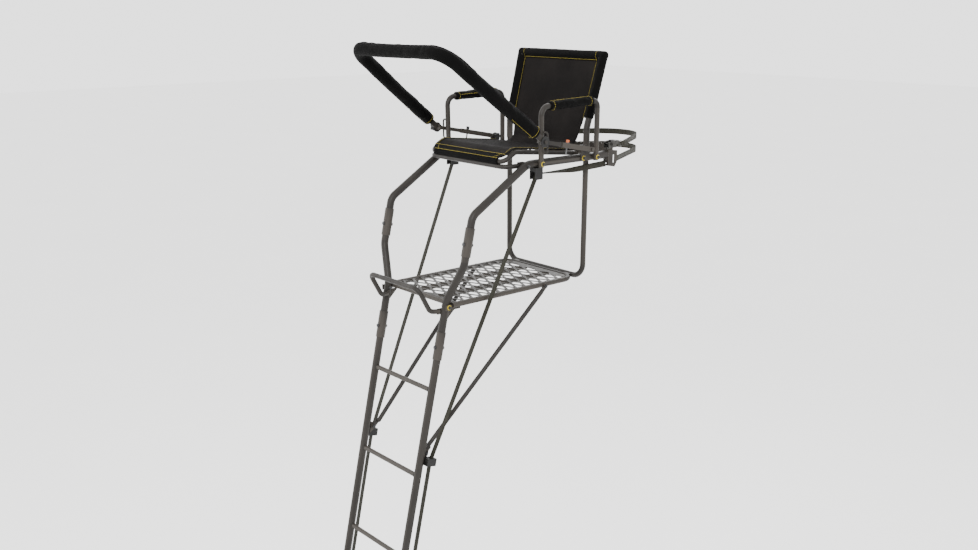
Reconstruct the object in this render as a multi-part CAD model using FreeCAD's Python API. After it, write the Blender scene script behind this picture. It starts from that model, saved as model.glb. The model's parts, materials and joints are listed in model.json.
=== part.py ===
import FreeCAD, Part
import math
import os

# Ladder tree stand, millimetres.
# Model frame: +X is the sitter's left, +Y points into the tree, +Z is up.
# The origin is on the axis of the trunk at ground level.
# Everything is first built about the front edge of the platform and moved into place by save().

# --- driving dimensions ---
PLATFORM_HEIGHT = 3600.0
TRUNK_Y = 1060.0
TRUNK_RADIUS = 155.0
LEAN = math.radians(13.34)

LADDER_X = 200.0
LADDER_Y = -16.0
RAIL_RADIUS = 15.9
RAIL_WALL = 1.6
SOCKET_RADIUS = 19.0
SOCKET_BORE = 16.2
SOCKET_LENGTH = 108.0
POST_SOCKET_END = 224.0
SECTION_JOINT = 2010.0
FOOT_GAP = 16.0
RUNG_FIRST = 354.0
RUNG_PITCH = 366.6
RUNG_RADIUS = 10.0
UPPER_RUNGS = 5
LOWER_RUNGS = 4

RIM_X = 218.7
RIM_RADIUS = 11.0
PLATFORM_REAR_Y = 676.0
FRONT_TUBE_Y = 11.0
FRONT_BOLT_Z = -6.0
RIM_CORNER = 55.0
DECK_BAR_X = 73.0
DECK_BAR = 16.0
MESH_THICKNESS = 2.5
MESH_LONG_WAY = 100.0
MESH_SHORT_WAY = 48.0
MESH_STRAND = 9.0

SEAT_RAIL_X = 270.0
SEAT_RAIL_Z = 525.0
SEAT_RAIL_SLOPE = math.radians(31.0)
SEAT_RAIL_KNEE = 352.0
SEAT_RAIL_END_Y = 800.0
SPLICE_Z = 200.0

HOOP_X = 242.0
HOOP_Y = 712.0
HOOP_RADIUS = 12.0
BACK_RADIUS = 14.0
BACK_KNEE_Z = 640.0
BACK_TOP_Y = 793.0
BACK_TOP_Z = 922.0
BACK_BENDS = [90, 32, 32, 90]

SEAT_X = 232.0
SEAT_RADIUS = 9.5
SEAT_HINGE_Y = 650.0
SEAT_REAR_Z = 541.0
SEAT_CREST_Y = 322.0
SEAT_CREST_Z = 572.0
SEAT_FRONT_Y = 262.0
SEAT_BENDS = [38, 26, 26, 38]
SEAT_BAR_SETBACK = 42.0
SEAT_FRONT_Z = 538.5
SUPPORT_Z = 519.0
SUPPORT_BOLT_Y = 344.0

ARM_X = 297.0
ARM_RADIUS = 11.0
ARM_FRONT_Y = 403.0
ARM_REAR_Y = 715.0
ARM_TOP_Z = 750.0
ARM_PAD_RADIUS = 18.5

PIVOT_Y = 663.0
PIVOT_Z = 562.0
HUB_Y = 378.0
HUB_Z = 617.0
RAIL_HUB_X = 345.0
RAIL_BAR_X = 292.0
RAIL_BAR_Y = -70.0
RAIL_BAR_Z = 957.0
RAIL_TUBE_RADIUS = 11.0
RAIL_PAD_RADIUS = 27.0
RAIL_CORNER = 82.0
RAIL_PAD_START = 52.0

BOLT_RADIUS = 4.0
BOLT_HOLE = 4.1
WEB_WIDTH = 25.0
WEB_TUNNEL = 28.0
WEB_BLOCK = 35.0
WEB_THICKNESS = 2.0

X_AXIS = FreeCAD.Vector(1, 0, 0)
Y_AXIS = FreeCAD.Vector(0, 1, 0)
Z_AXIS = FreeCAD.Vector(0, 0, 1)
ORIGIN = FreeCAD.Vector(0, 0, 0)
LADDER_DOWN = FreeCAD.Vector(0, -math.sin(LEAN), -math.cos(LEAN))
LADDER_REAR = FreeCAD.Vector(0, math.cos(LEAN), -math.sin(LEAN))
LADDER_END = PLATFORM_HEIGHT / math.cos(LEAN)


# --- helpers ---
def point(x, y, z):
    return FreeCAD.Vector(x, y, z)


def save(name, shape):
    """Moves a finished sub-part into the stand's frame and writes its STEP file."""
    placed = shape.copy()
    placed.translate(point(0, -TRUNK_Y, PLATFORM_HEIGHT))
    placed.exportStep("parts/" + name + ".step")


def mirrored(shape):
    return shape.mirror(ORIGIN, X_AXIS)


def save_pair(name, left_shape):
    save(name + "_left", left_shape)
    save(name + "_right", mirrored(left_shape))


def group(shapes):
    return Part.makeCompound(shapes)


def both_sides(shapes):
    return group(shapes + [mirrored(shape) for shape in shapes])


def fused(shapes):
    result = shapes[0].multiFuse(shapes[1:])
    return result.removeSplitter()


def rounded_wire(points, radii, closed=False):
    """Straight runs through the points, with an arc of the given radius at each inner point."""
    count = len(points)
    corners = range(count) if closed else range(1, count - 1)
    trims = {}
    for index, radius in zip(corners, radii):
        corner = points[index]
        back = (points[index - 1] - corner).normalize()
        ahead = (points[(index + 1) % count] - corner).normalize()
        half = back.getAngle(ahead) / 2
        reach = radius / math.tan(half)
        middle = (back + ahead).normalize()
        centre_distance = radius / math.sin(half)
        start = corner + back * reach
        crown = corner + middle * (centre_distance - radius)
        finish = corner + ahead * reach
        trims[index] = (start, crown, finish)
    edges = []
    spans = range(count) if closed else range(count - 1)
    for index in spans:
        following = (index + 1) % count
        start = trims[index][2] if index in trims else points[index]
        finish = trims[following][0] if following in trims else points[following]
        edges.append(Part.LineSegment(start, finish).toShape())
        if following in trims:
            first, crown, last = trims[following]
            edges.append(Part.Arc(first, crown, last).toShape())
    return Part.Wire(edges)


def swept(path, radius):
    """A round bar along a path."""
    start = path.Edges[0].valueAt(path.Edges[0].FirstParameter)
    heading = path.Edges[0].tangentAt(path.Edges[0].FirstParameter)
    circle = Part.Wire([Part.makeCircle(radius, start, heading)])
    return path.makePipeShell([circle], True, False)


def bent_rod(points, radii, radius):
    return swept(rounded_wire(points, radii), radius)


def bent_tube(points, radii, radius, wall):
    path = rounded_wire(points, radii)
    return swept(path, radius).cut(swept(path, radius - wall))


def rod(start, finish, radius):
    run = finish - start
    return Part.makeCylinder(radius, run.Length, start, run)


def pipe(start, finish, radius, wall):
    return rod(start, finish, radius).cut(rod(start, finish, radius - wall))


def box(x0, x1, y0, y1, z0, z1):
    return Part.makeBox(x1 - x0, y1 - y0, z1 - z0, point(x0, y0, z0))


def prism(points, sweep):
    return Part.Face(Part.makePolygon(points + [points[0]])).extrude(sweep)


def on_ladder(x, distance, rear=0.0):
    """A point on the ladder: distance down from platform level, rear towards the tree."""
    foot = point(x, LADDER_Y, 0)
    return foot + LADDER_DOWN * distance + LADDER_REAR * rear


def socket(end, up):
    """An expanded tube end that the next tube slides into; end is its open mouth."""
    neck = end + up * SOCKET_LENGTH
    sleeve = rod(end, neck, SOCKET_RADIUS).cut(rod(end, neck, SOCKET_BORE))
    shoulder = pipe(neck, neck + up * 6, SOCKET_RADIUS, SOCKET_RADIUS - RAIL_RADIUS + RAIL_WALL)
    return sleeve.fuse(shoulder)


def bolt(start, finish, head=6.5, radius=BOLT_RADIUS):
    """A hex bolt with its nut, from one outer face to the other."""
    along = (finish - start).normalize()
    shank = rod(start - along * 2, finish + along * 6, radius)
    cap = hexagon(start - along * 4.5, along, head, 4.5)
    nut = hexagon(finish, along, head, 4.5)
    return fused([shank, cap, nut])


def hexagon(start, along, across_half, height):
    side = along.cross(Z_AXIS)
    if side.Length < 0.1:
        side = X_AXIS
    side.normalize()
    other = along.cross(side)
    corner = across_half / math.cos(math.radians(30))
    ring = []
    for step in range(6):
        angle = math.radians(60 * step)
        ring.append(start + side * (corner * math.cos(angle)) + other * (corner * math.sin(angle)))
    return prism(ring, along * height)


def washer(centre, along, inner, outer, height):
    return Part.makeCylinder(outer, height, centre, along).cut(
        Part.makeCylinder(inner, height, centre, along))


# --- ladder ---
def ladder_rail(top, bottom, has_socket):
    start = on_ladder(LADDER_X, top)
    if not has_socket:
        return pipe(start, on_ladder(LADDER_X, bottom), RAIL_RADIUS, RAIL_WALL)
    neck = on_ladder(LADDER_X, bottom - SOCKET_LENGTH)
    tube = pipe(start, neck, RAIL_RADIUS, RAIL_WALL)
    rail = fused([tube, socket(on_ladder(LADDER_X, bottom), LADDER_DOWN * -1)])
    return drilled(rail, bottom - 50)


def cross_bolt_ends(x, distance, half):
    return on_ladder(x, distance, -half), on_ladder(x, distance, half)


def drilled(rail, distance):
    start, finish = cross_bolt_ends(LADDER_X, distance, 30)
    return rail.cut(rod(start, finish, BOLT_HOLE))


def rungs(first, count):
    bars = []
    reach = LADDER_X - RAIL_RADIUS + 0.6
    for index in range(count):
        distance = first + index * RUNG_PITCH
        bar = pipe(on_ladder(-reach, distance), on_ladder(reach, distance), RUNG_RADIUS, 1.5)
        for side in (-1, 1):
            x = side * LADDER_X
            rail = rod(on_ladder(x, distance - 30), on_ladder(x, distance + 30), RAIL_RADIUS)
            bar = bar.cut(rail)
        bars.append(bar)
    return group(bars)


def build_ladder():
    upper = ladder_rail(POST_SOCKET_END - SOCKET_LENGTH + 6, SECTION_JOINT, True)
    lower_top = SECTION_JOINT - SOCKET_LENGTH + 6
    lower = ladder_rail(lower_top, LADDER_END - FOOT_GAP, False)
    save_pair("upper_rail", drilled(upper, POST_SOCKET_END - 50))
    save_pair("lower_rail", drilled(lower, SECTION_JOINT - 50))
    save("upper_rungs", rungs(RUNG_FIRST, UPPER_RUNGS))
    save("lower_rungs", rungs(RUNG_FIRST + UPPER_RUNGS * RUNG_PITCH, LOWER_RUNGS))
    bolts = []
    for distance in (POST_SOCKET_END - 50, SECTION_JOINT - 50):
        start, finish = cross_bolt_ends(LADDER_X, distance, SOCKET_RADIUS + 0.2)
        bolts.append(bolt(start, finish))
    save("ladder_bolts", both_sides(bolts))


def build_feet():
    """Flat ground shoes with two spikes each, closing the lower rail ends."""
    ground = -PLATFORM_HEIGHT
    toe = on_ladder(LADDER_X, LADDER_END)
    plate = box(LADDER_X - 28, LADDER_X + 28, toe.y - 45, toe.y + 45, ground, ground + 6)
    plug = rod(on_ladder(LADDER_X, LADDER_END - 60), on_ladder(LADDER_X, LADDER_END + 10),
               RAIL_RADIUS - RAIL_WALL - 0.2)
    collar = rod(on_ladder(LADDER_X, LADDER_END - FOOT_GAP + 0.3), on_ladder(LADDER_X, LADDER_END + 10),
                 RAIL_RADIUS + 2)
    below = box(0, 400, toe.y - 100, toe.y + 100, ground - 60, ground)
    shoe = fused([plate, plug, collar]).cut(below)
    web = prism([point(LADDER_X, toe.y + 14, ground + 6), point(LADDER_X, toe.y + 40, ground + 6),
                 point(LADDER_X, toe.y + 20, ground + 40)], X_AXIS * 5)
    web.translate(point(-2.5, 0, 0))
    tip = rod(on_ladder(LADDER_X, LADDER_END - 200), on_ladder(LADDER_X, LADDER_END - FOOT_GAP + 0.3),
              RAIL_RADIUS + 0.3)
    save("ladder_feet", both_sides([fused([shoe, web.cut(tip)])]))


# --- side posts, platform and braces ---
def lean_y(z):
    return LADDER_Y + z * math.tan(LEAN)


def post_path():
    return [on_ladder(LADDER_X, POST_SOCKET_END - SOCKET_LENGTH),
            point(LADDER_X, lean_y(18), 18),
            point(SEAT_RAIL_X, lean_y(165), 165),
            point(SEAT_RAIL_X, lean_y(292), 292)]


def build_posts():
    tube = bent_tube(post_path(), [70, 70], RAIL_RADIUS, RAIL_WALL)
    post = fused([tube, socket(on_ladder(LADDER_X, POST_SOCKET_END), LADDER_DOWN * -1)])
    post = drilled(post, POST_SOCKET_END - 50)
    joint = point(LADDER_X, LADDER_Y, FRONT_BOLT_Z)
    post = post.cut(rod(joint - X_AXIS * 40, joint + X_AXIS * 40, BOLT_HOLE))
    start, finish = splice_bolt_ends(30)
    post = post.cut(rod(start, finish, BOLT_HOLE))
    save_pair("side_post", post)


def splice_bolt_ends(half):
    centre = point(SEAT_RAIL_X, lean_y(247), 247)
    return centre - LADDER_REAR * half, centre + LADDER_REAR * half


def build_platform():
    front_y = 0.8
    path = rounded_wire([point(-RIM_X, front_y, 0), point(-RIM_X, PLATFORM_REAR_Y, 0),
                         point(RIM_X, PLATFORM_REAR_Y, 0), point(RIM_X, front_y, 0)],
                        [RIM_CORNER, RIM_CORNER])
    rim = swept(path, RIM_RADIUS).cut(swept(path, RIM_RADIUS - 1.6))
    tab_x = LADDER_X + RAIL_RADIUS + 0.3
    tab = box(tab_x, tab_x + 5, LADDER_Y - 16, 40, FRONT_BOLT_Z - 12, 4)
    hole = rod(point(0, LADDER_Y, FRONT_BOLT_Z), point(400, LADDER_Y, FRONT_BOLT_Z), BOLT_HOLE)
    tab = tab.cut(hole)
    link = box(150, 182, PLATFORM_REAR_Y, HOOP_Y - HOOP_RADIUS - 0.3, -8, 8)
    link = link.cut(swept(path, RIM_RADIUS - 0.8))
    rim = fused([rim, tab, mirrored(tab), link, mirrored(link)])
    brace_bolt = rod(point(-300, BRACE_TOP.y, BRACE_TOP.z), point(300, BRACE_TOP.y, BRACE_TOP.z),
                     BOLT_HOLE)
    save("platform_rim", rim.cut(brace_bolt))
    save("platform_bars", platform_bars())
    save("platform_mesh", expanded_mesh())


def platform_bars():
    long_bar = box(DECK_BAR_X - DECK_BAR / 2, DECK_BAR_X + DECK_BAR / 2,
                   FRONT_TUBE_Y + 10.3, PLATFORM_REAR_Y - RIM_RADIUS - 0.3, -11, -11 + DECK_BAR)
    reach = RIM_X - RIM_RADIUS - 0.3
    front = pipe(point(-reach, FRONT_TUBE_Y, 0), point(reach, FRONT_TUBE_Y, 0), 10, 1.6)
    return group([long_bar, mirrored(long_bar), front])


def expanded_mesh():
    """A flat sheet of staggered diamond openings between the rim tubes."""
    half_width = RIM_X - RIM_RADIUS - 0.5
    y0 = FRONT_TUBE_Y + 10.4
    y1 = PLATFORM_REAR_Y - RIM_RADIUS - 0.5
    z = -11 + DECK_BAR + 0.1
    rim = [point(-half_width, y0, z), point(half_width, y0, z),
           point(half_width, y1, z), point(-half_width, y1, z)]
    outline = rounded_wire(rim, [3, 3, RIM_CORNER - RIM_RADIUS, RIM_CORNER - RIM_RADIUS], True)
    holes = []
    half_long = MESH_LONG_WAY / 2 - MESH_STRAND
    half_short = MESH_SHORT_WAY / 2 - MESH_STRAND / 2 - 2
    row = 0
    y = y0 + MESH_SHORT_WAY / 2
    while y < y1 - half_short - 6:
        offset = MESH_LONG_WAY / 2 * (row % 2)
        column = -3
        while column <= 3:
            x = column * MESH_LONG_WAY + offset
            cell = diamond(x, y, z, half_long, half_short, half_width - 4)
            if cell and not near_round_corner(x, y, half_width, y1, half_long):
                holes.append(cell)
            column += 1
        row += 1
        y += MESH_SHORT_WAY / 2
    sheet = Part.Face([outline] + holes)
    sheet.validate()
    return sheet.extrude(Z_AXIS * MESH_THICKNESS)


def near_round_corner(x, y, half_width, rear, reach):
    return rear - y < 40 and half_width - abs(x) < reach


def diamond(x, y, z, half_long, half_short, limit):
    """One diamond opening, cut off square where it would run past the edge of the sheet."""
    left = max(x - half_long, -limit)
    right = min(x + half_long, limit)
    if right - left < 14:
        return None

    def half_height(at):
        return half_short * (1 - abs(at - x) / half_long)

    points = []
    if half_height(left) > 1:
        points += [point(left, y - half_height(left), z)]
    else:
        points += [point(left, y, z)]
    if left < x < right:
        points += [point(x, y - half_short, z)]
    if half_height(right) > 1:
        points += [point(right, y - half_height(right), z), point(right, y + half_height(right), z)]
    else:
        points += [point(right, y, z)]
    if left < x < right:
        points += [point(x, y + half_short, z)]
    if half_height(left) > 1:
        points += [point(left, y + half_height(left), z)]
    return Part.makePolygon(points + [points[0]])


def gusset():
    """Triangular plate under a platform corner, welded to the post."""
    x0 = LADDER_X - 2.5
    low = LADDER_Y + RAIL_RADIUS - 60 * math.tan(LEAN) + 0.8
    return prism([point(x0, low, -60), point(x0, LADDER_Y + RAIL_RADIUS + 0.8, -16),
                  point(x0, 34, -16)], X_AXIS * 5)


BRACE_TOP = point(RIM_X + RIM_RADIUS + 0.3, 499, -4)
BRACE_FOOT = point(LADDER_X - 14, -132, -613)
BRACE_RADIUS = 9.5
BRACE_TAB = 4.0


def brace():
    """A round strut whose flattened ends are bolted flat against the frame."""
    foot = BRACE_FOOT
    top = BRACE_TOP
    run = top - foot
    along = point(0, run.y, run.z).normalize()
    inner_foot = foot + along * 34 - X_AXIS * 6
    inner_top = top - along * 34 + X_AXIS * 2
    parts = [rod(inner_foot, inner_top, BRACE_RADIUS)]
    for end, inner in ((foot, inner_foot), (top, inner_top)):
        parts.append(Part.makeCylinder(12, BRACE_TAB, end, X_AXIS))
        parts.append(flat_strip(end, inner, 20, BRACE_TAB))
    parts.append(Part.makeSphere(BRACE_RADIUS, inner_foot))
    parts.append(Part.makeSphere(BRACE_RADIUS, inner_top))
    strut = fused(parts)
    for end in (foot, top):
        strut = strut.cut(rod(end - X_AXIS * 5, end + X_AXIS * 20, BOLT_HOLE))
    return strut


def flat_strip(start, finish, width, thickness):
    run = point(0, finish.y - start.y, finish.z - start.z)
    side = run.cross(X_AXIS).normalize() * (width / 2)
    end = start + run
    return prism([start - side, start + side, end + side, end - side], X_AXIS * thickness)


def build_braces():
    save_pair("brace", brace())
    distance = BRACE_FOOT.z / -math.cos(LEAN)
    x0 = BRACE_FOOT.x + BRACE_TAB + 0.3
    rail_rear = on_ladder(x0, distance, RAIL_RADIUS + 0.2)
    tip = point(x0, BRACE_FOOT.y, BRACE_FOOT.z)
    lug = prism([rail_rear + LADDER_DOWN * -26, rail_rear + LADDER_DOWN * 26,
                 tip + point(0, 9, -13), tip + point(0, 14, 9)], X_AXIS * 5)
    lug = lug.cut(rod(BRACE_FOOT - X_AXIS * 20, BRACE_FOOT + X_AXIS * 20, BOLT_HOLE))
    rail = rod(on_ladder(LADDER_X, 300), on_ladder(LADDER_X, 900), RAIL_RADIUS + 0.2)
    save("weld_plates", both_sides([lug.cut(rail), gusset()]))


def build_footrest():
    x = 168.0
    reach = LADDER_X - RAIL_RADIUS - 1.0
    points = [point(reach, -34, -26), point(x, -72, -24), point(x, -126, 77),
              point(-x, -126, 77), point(-x, -72, -24), point(-reach, -34, -26)]
    loop = bent_tube(points, [24, 30, 30, 24], 10, 1.6)
    save("footrest_loop", loop.fuse(group_pads(reach)))


def group_pads(reach):
    """Small weld pads that close the footrest against the inner sides of the posts."""
    pad = box(reach - 4, reach + 0.6, -46, -22, -38, -14)
    return pad.fuse(mirrored(pad))


# --- seat rails, rear hoop and backrest ---
def seat_rail_path():
    tan_slope = math.tan(SEAT_RAIL_SLOPE)
    knee_y = SEAT_RAIL_KNEE - (SEAT_RAIL_Z / tan_slope)
    cross_z = (LADDER_Y - knee_y) / (1 / tan_slope - math.tan(LEAN))
    return [point(SEAT_RAIL_X, lean_y(SPLICE_Z + SOCKET_LENGTH * math.cos(LEAN)),
                  SPLICE_Z + SOCKET_LENGTH * math.cos(LEAN)),
            point(SEAT_RAIL_X, lean_y(cross_z), cross_z),
            point(SEAT_RAIL_X, SEAT_RAIL_KNEE, SEAT_RAIL_Z),
            point(SEAT_RAIL_X, SEAT_RAIL_END_Y, SEAT_RAIL_Z)]


def build_seat_rails():
    tube = bent_tube(seat_rail_path(), [55, 90], RAIL_RADIUS, RAIL_WALL)
    mouth = point(SEAT_RAIL_X, lean_y(SPLICE_Z), SPLICE_Z)
    rail = fused([tube, socket(mouth, LADDER_DOWN * -1)])
    start, finish = splice_bolt_ends(30)
    rail = rail.cut(rod(start, finish, BOLT_HOLE))
    cap = Part.makeCylinder(RAIL_RADIUS + 0.5, 4, point(SEAT_RAIL_X, SEAT_RAIL_END_Y, SEAT_RAIL_Z), Y_AXIS)
    rail = rail.fuse(cap)
    for y in (SEAT_HINGE_Y, ARM_FRONT_Y, ARM_REAR_Y):
        rail = rail.cut(rod(point(200, y, SEAT_RAIL_Z), point(340, y, SEAT_RAIL_Z), BOLT_HOLE))
    support_bolt = point(200, SUPPORT_BOLT_Y, SUPPORT_Z)
    rail = rail.cut(rod(support_bolt, support_bolt + X_AXIS * 140, BOLT_HOLE))
    save_pair("seat_rail", rail)


SUPPORT_X = SEAT_RAIL_X - RAIL_RADIUS - 10.5


def build_seat_support():
    """The cross bar that the seat's front edge rests on, bolted to the seat rails."""
    z = SUPPORT_Z
    bar_end_y = SUPPORT_BOLT_Y - 14
    x = SUPPORT_X
    points = [point(-x, bar_end_y, z), point(-x, SEAT_FRONT_Y, z), point(x, SEAT_FRONT_Y, z),
              point(x, bar_end_y, z)]
    bar = bent_tube(points, [38, 38], 9.5, 1.5)
    lug = box(x - 5, SEAT_RAIL_X - RAIL_RADIUS - 0.2, bar_end_y - 4, bar_end_y + 26, z - 12, z + 14)
    hole = rod(point(-400, SUPPORT_BOLT_Y, z), point(400, SUPPORT_BOLT_Y, z), BOLT_HOLE)
    save("seat_support_bar", fused([bar, lug, mirrored(lug)]).cut(hole))


def build_rear_hoop():
    top = 600.0
    points = [point(-HOOP_X, HOOP_Y, top), point(-HOOP_X, HOOP_Y, 0),
              point(HOOP_X, HOOP_Y, 0), point(HOOP_X, HOOP_Y, top)]
    hoop = bent_tube(points, [60, 60], HOOP_RADIUS, 1.6)
    hole = rod(point(-400, ARM_REAR_Y, SEAT_RAIL_Z), point(400, ARM_REAR_Y, SEAT_RAIL_Z), BOLT_HOLE)
    save("rear_hoop", hoop.cut(hole))


def back_points():
    return [point(-HOOP_X, HOOP_Y, 556), point(-HOOP_X, HOOP_Y, BACK_KNEE_Z),
            point(-HOOP_X - 8, BACK_TOP_Y, BACK_TOP_Z), point(HOOP_X + 8, BACK_TOP_Y, BACK_TOP_Z),
            point(HOOP_X, HOOP_Y, BACK_KNEE_Z), point(HOOP_X, HOOP_Y, 556)]


def build_backrest():
    frame = bent_tube(back_points(), BACK_BENDS, BACK_RADIUS, 1.7)
    save("backrest_frame", frame)
    save("backrest_sling", backrest_sling())


def backrest_sling():
    """Fabric panel with sleeves round the side tubes and the top tube."""
    left = point(HOOP_X, HOOP_Y, BACK_KNEE_Z)
    top = point(HOOP_X + 8, BACK_TOP_Y, BACK_TOP_Z)
    along = (top - left).normalize()
    low = left + along * 36
    path = rounded_wire([mirror_point(low), mirror_point(top), top, low], [32, 32])
    outer = swept(path, BACK_RADIUS + 4)
    bore = swept(path, BACK_RADIUS + 0.4)
    front = along.cross(X_AXIS).normalize()
    if front.y > 0:
        front = front * -1
    tail = left - along * 70
    rear_shift = front * -2
    panel_points = [mirror_point(top) + rear_shift, top + rear_shift, low + rear_shift,
                    point(205, tail.y, tail.z) + rear_shift, point(-205, tail.y, tail.z) + rear_shift,
                    mirror_point(low) + rear_shift]
    panel = prism(panel_points, front * 4)
    frame = swept(rounded_wire(back_points(), BACK_BENDS), BACK_RADIUS + 0.4)
    return fused([outer, panel]).cut(bore).cut(frame)


def mirror_point(vector):
    return point(-vector.x, vector.y, vector.z)


# --- seat ---
def seat_outline():
    side = [point(SEAT_X, SEAT_HINGE_Y, SEAT_REAR_Z), point(SEAT_X, SEAT_CREST_Y, SEAT_CREST_Z),
            point(SEAT_X, SEAT_FRONT_Y, SEAT_FRONT_Z)]
    points = side + [mirror_point(vector) for vector in reversed(side)]
    return rounded_wire(points, SEAT_BENDS)


def seat_rear_bar(radius):
    slope = (SEAT_CREST_Z - SEAT_REAR_Z) / (SEAT_HINGE_Y - SEAT_CREST_Y)
    z = SEAT_REAR_Z + SEAT_BAR_SETBACK * slope
    y = SEAT_HINGE_Y - SEAT_BAR_SETBACK
    reach = SEAT_X - SEAT_RADIUS + 1
    return rod(point(-reach, y, z), point(reach, y, z), radius)


def build_seat():
    path = seat_outline()
    outer = swept(path, SEAT_RADIUS)
    bar = seat_rear_bar(8)
    frame = fused([outer.cut(swept(path, SEAT_RADIUS - 1.6)), bar.cut(swept(path, SEAT_RADIUS - 0.8)),
                   seat_ear(), mirrored(seat_ear())])
    axis_y = SEAT_HINGE_Y
    frame = frame.cut(rod(point(-300, axis_y, SEAT_RAIL_Z), point(300, axis_y, SEAT_RAIL_Z), BOLT_HOLE))
    save("seat_frame", frame)
    clear = swept(path, SEAT_RADIUS + 0.3).fuse(seat_rear_bar(8.3))
    save("seat_sling", seat_sling().cut(clear))


def seat_ear():
    """Flat hinge ear at the rear end of each seat tube."""
    x = SEAT_X + 4
    return Part.makeCylinder(20, 6, point(x, SEAT_HINGE_Y, SEAT_RAIL_Z + 4), X_AXIS)


def seat_sling():
    """Fabric stretched between the seat tubes and dropped over the front bar."""
    x = SEAT_X - SEAT_RADIUS - 1
    rear = point(-x, SEAT_HINGE_Y - SEAT_BAR_SETBACK - 10, SEAT_REAR_Z + 7)
    crest = point(-x, SEAT_CREST_Y + 8, SEAT_CREST_Z - 6)
    front = point(-x, SEAT_FRONT_Y + 14, SEAT_FRONT_Z + 8)
    down = point(0, 3, -5)
    return prism([rear, crest, front, front + down, crest + down, rear + down], X_AXIS * (2 * x))


# --- armrests ---
def arm_points():
    return [point(ARM_X, ARM_FRONT_Y, 512), point(ARM_X, ARM_FRONT_Y - 3, ARM_TOP_Z - 4),
            point(ARM_X, ARM_REAR_Y, ARM_TOP_Z + 4), point(ARM_X, ARM_REAR_Y, 512)]


def build_armrests():
    frame = bent_tube(arm_points(), [38, 30], ARM_RADIUS, 1.5)
    for y in (ARM_FRONT_Y, ARM_REAR_Y):
        frame = frame.cut(rod(point(200, y, SEAT_RAIL_Z), point(340, y, SEAT_RAIL_Z), BOLT_HOLE))
    save_pair("armrest", frame)
    front = point(ARM_X, ARM_FRONT_Y - 3, ARM_TOP_Z - 4)
    rear = point(ARM_X, ARM_REAR_Y, ARM_TOP_Z + 4)
    along = (rear - front).normalize()
    start = front + along * 40
    finish = rear - along * 32
    pad = rod(start, finish, ARM_PAD_RADIUS).cut(rod(start, finish, ARM_RADIUS + 0.3))
    save_pair("arm_pad", pad)


KEEPER_RADIUS = 3.5
KEEPER_X = 332.0


def build_keepers():
    """Wire loops on the front arm posts that the shooting rail's arms pass through."""
    post_side = ARM_X + ARM_RADIUS - 2
    points = [point(post_side, ARM_FRONT_Y, 650), point(KEEPER_X, ARM_FRONT_Y, 650),
              point(KEEPER_X, ARM_FRONT_Y, 571), point(post_side, ARM_FRONT_Y, 571)]
    loop = bent_rod(points, [9, 9], KEEPER_RADIUS)
    post = rod(point(ARM_X, ARM_FRONT_Y - 1.3, 500), point(ARM_X, ARM_FRONT_Y - 1.3, 700), ARM_RADIUS + 0.4)
    save("arm_keepers", both_sides([loop.cut(post)]))


# --- shooting rail ---
ARM_TUBE_X0 = ARM_X + ARM_RADIUS + 0.6
ARM_TUBE_X1 = ARM_TUBE_X0 + 18
PIN_DISTANCE = 140.0
SLIDE_TRAVEL = 60.0


def arm_angle():
    return math.degrees(math.atan2(HUB_Z - PIVOT_Z, PIVOT_Y - HUB_Y))


def arm_length():
    return math.hypot(HUB_Z - PIVOT_Z, PIVOT_Y - HUB_Y)


def on_arm(shape):
    """Turns a piece built pointing forward from the rear pivot into its resting slope."""
    shape.rotate(ORIGIN, X_AXIS, -arm_angle())
    shape.translate(point(0, PIVOT_Y, PIVOT_Z))
    return shape


def build_rail_arms():
    x0 = ARM_TUBE_X0
    x1 = ARM_TUBE_X1
    front = -175.0
    outer = box(x0, x1, front, 13, -10, 10)
    inner = box(x0 + 1.7, x1 - 1.7, front, 1, -8.3, 8.3)
    arm = outer.cut(inner)
    arm = arm.cut(rod(point(200, 0, 0), point(400, 0, 0), BOLT_HOLE))
    middle = (x0 + x1) / 2
    arm = arm.cut(rod(point(middle, -PIN_DISTANCE, -30), point(middle, -PIN_DISTANCE, 30), 3.2))
    save_pair("rail_arm", on_arm(arm))
    cap = Part.makeCylinder(8, 4, point(HUB_DISC_X1 + 1.2, -arm_length(), 0), X_AXIS)
    left_slide = fused([rail_slide(middle), cap.makeFillet(2.5, [cap.Edges[0]])])
    save("rail_slide_left", on_arm(left_slide))
    save("rail_slide_right", mirrored(on_arm(rail_slide(middle, KNOB_STUD))))
    save_pair("adjust_pin", on_arm(adjust_pin(middle)))


def rail_slide(middle, stud_extra=0.0):
    """The inner bar that carries the tilt hub; a slot clears the adjusting pin over its travel."""
    tip = -arm_length()
    bar = box(middle - 7, middle + 7, tip - 11, -66, -7.9, 7.9)
    core = box(middle - 5.3, middle + 5.3, tip + 16, -66, -6.2, 6.2)
    slot = box(middle - 3.6, middle + 3.6, -PIN_DISTANCE - 4, -PIN_DISTANCE + SLIDE_TRAVEL + 4, -20, 20)
    boss = Part.makeCylinder(11, HUB_TAB_X0 - 0.2 - middle - 6, point(middle + 6, tip, 0), X_AXIS)
    stud_length = HUB_DISC_X1 + 1.5 + stud_extra - middle
    stud = Part.makeCylinder(BOLT_RADIUS, stud_length, point(middle, tip, 0), X_AXIS)
    return fused([bar.cut(core).cut(slot), boss, stud])


def adjust_pin(middle):
    """A straight locking pin with a flange and a flat pull tab."""
    y = -PIN_DISTANCE
    shank = rod(point(middle, y, -34), point(middle, y, 14), 3.0)
    shank = shank.makeChamfer(1.0, [shank.Edges[2]])
    flange = Part.makeCylinder(7, 3, point(middle, y, 10.4), Z_AXIS)
    tab = box(middle - 2.5, middle + 2.5, y - 8, y + 8, 13, 23)
    tab = tab.makeFillet(2.0, tab.Edges)
    return fused([shank, flange, tab])


HUB_TAB_X0 = 337.0
HUB_TAB_X1 = 342.0
HUB_DISC_X1 = 348.0
HUB_DISC_RADIUS = 21.0
KNOB_STUD = 10.0


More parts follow.
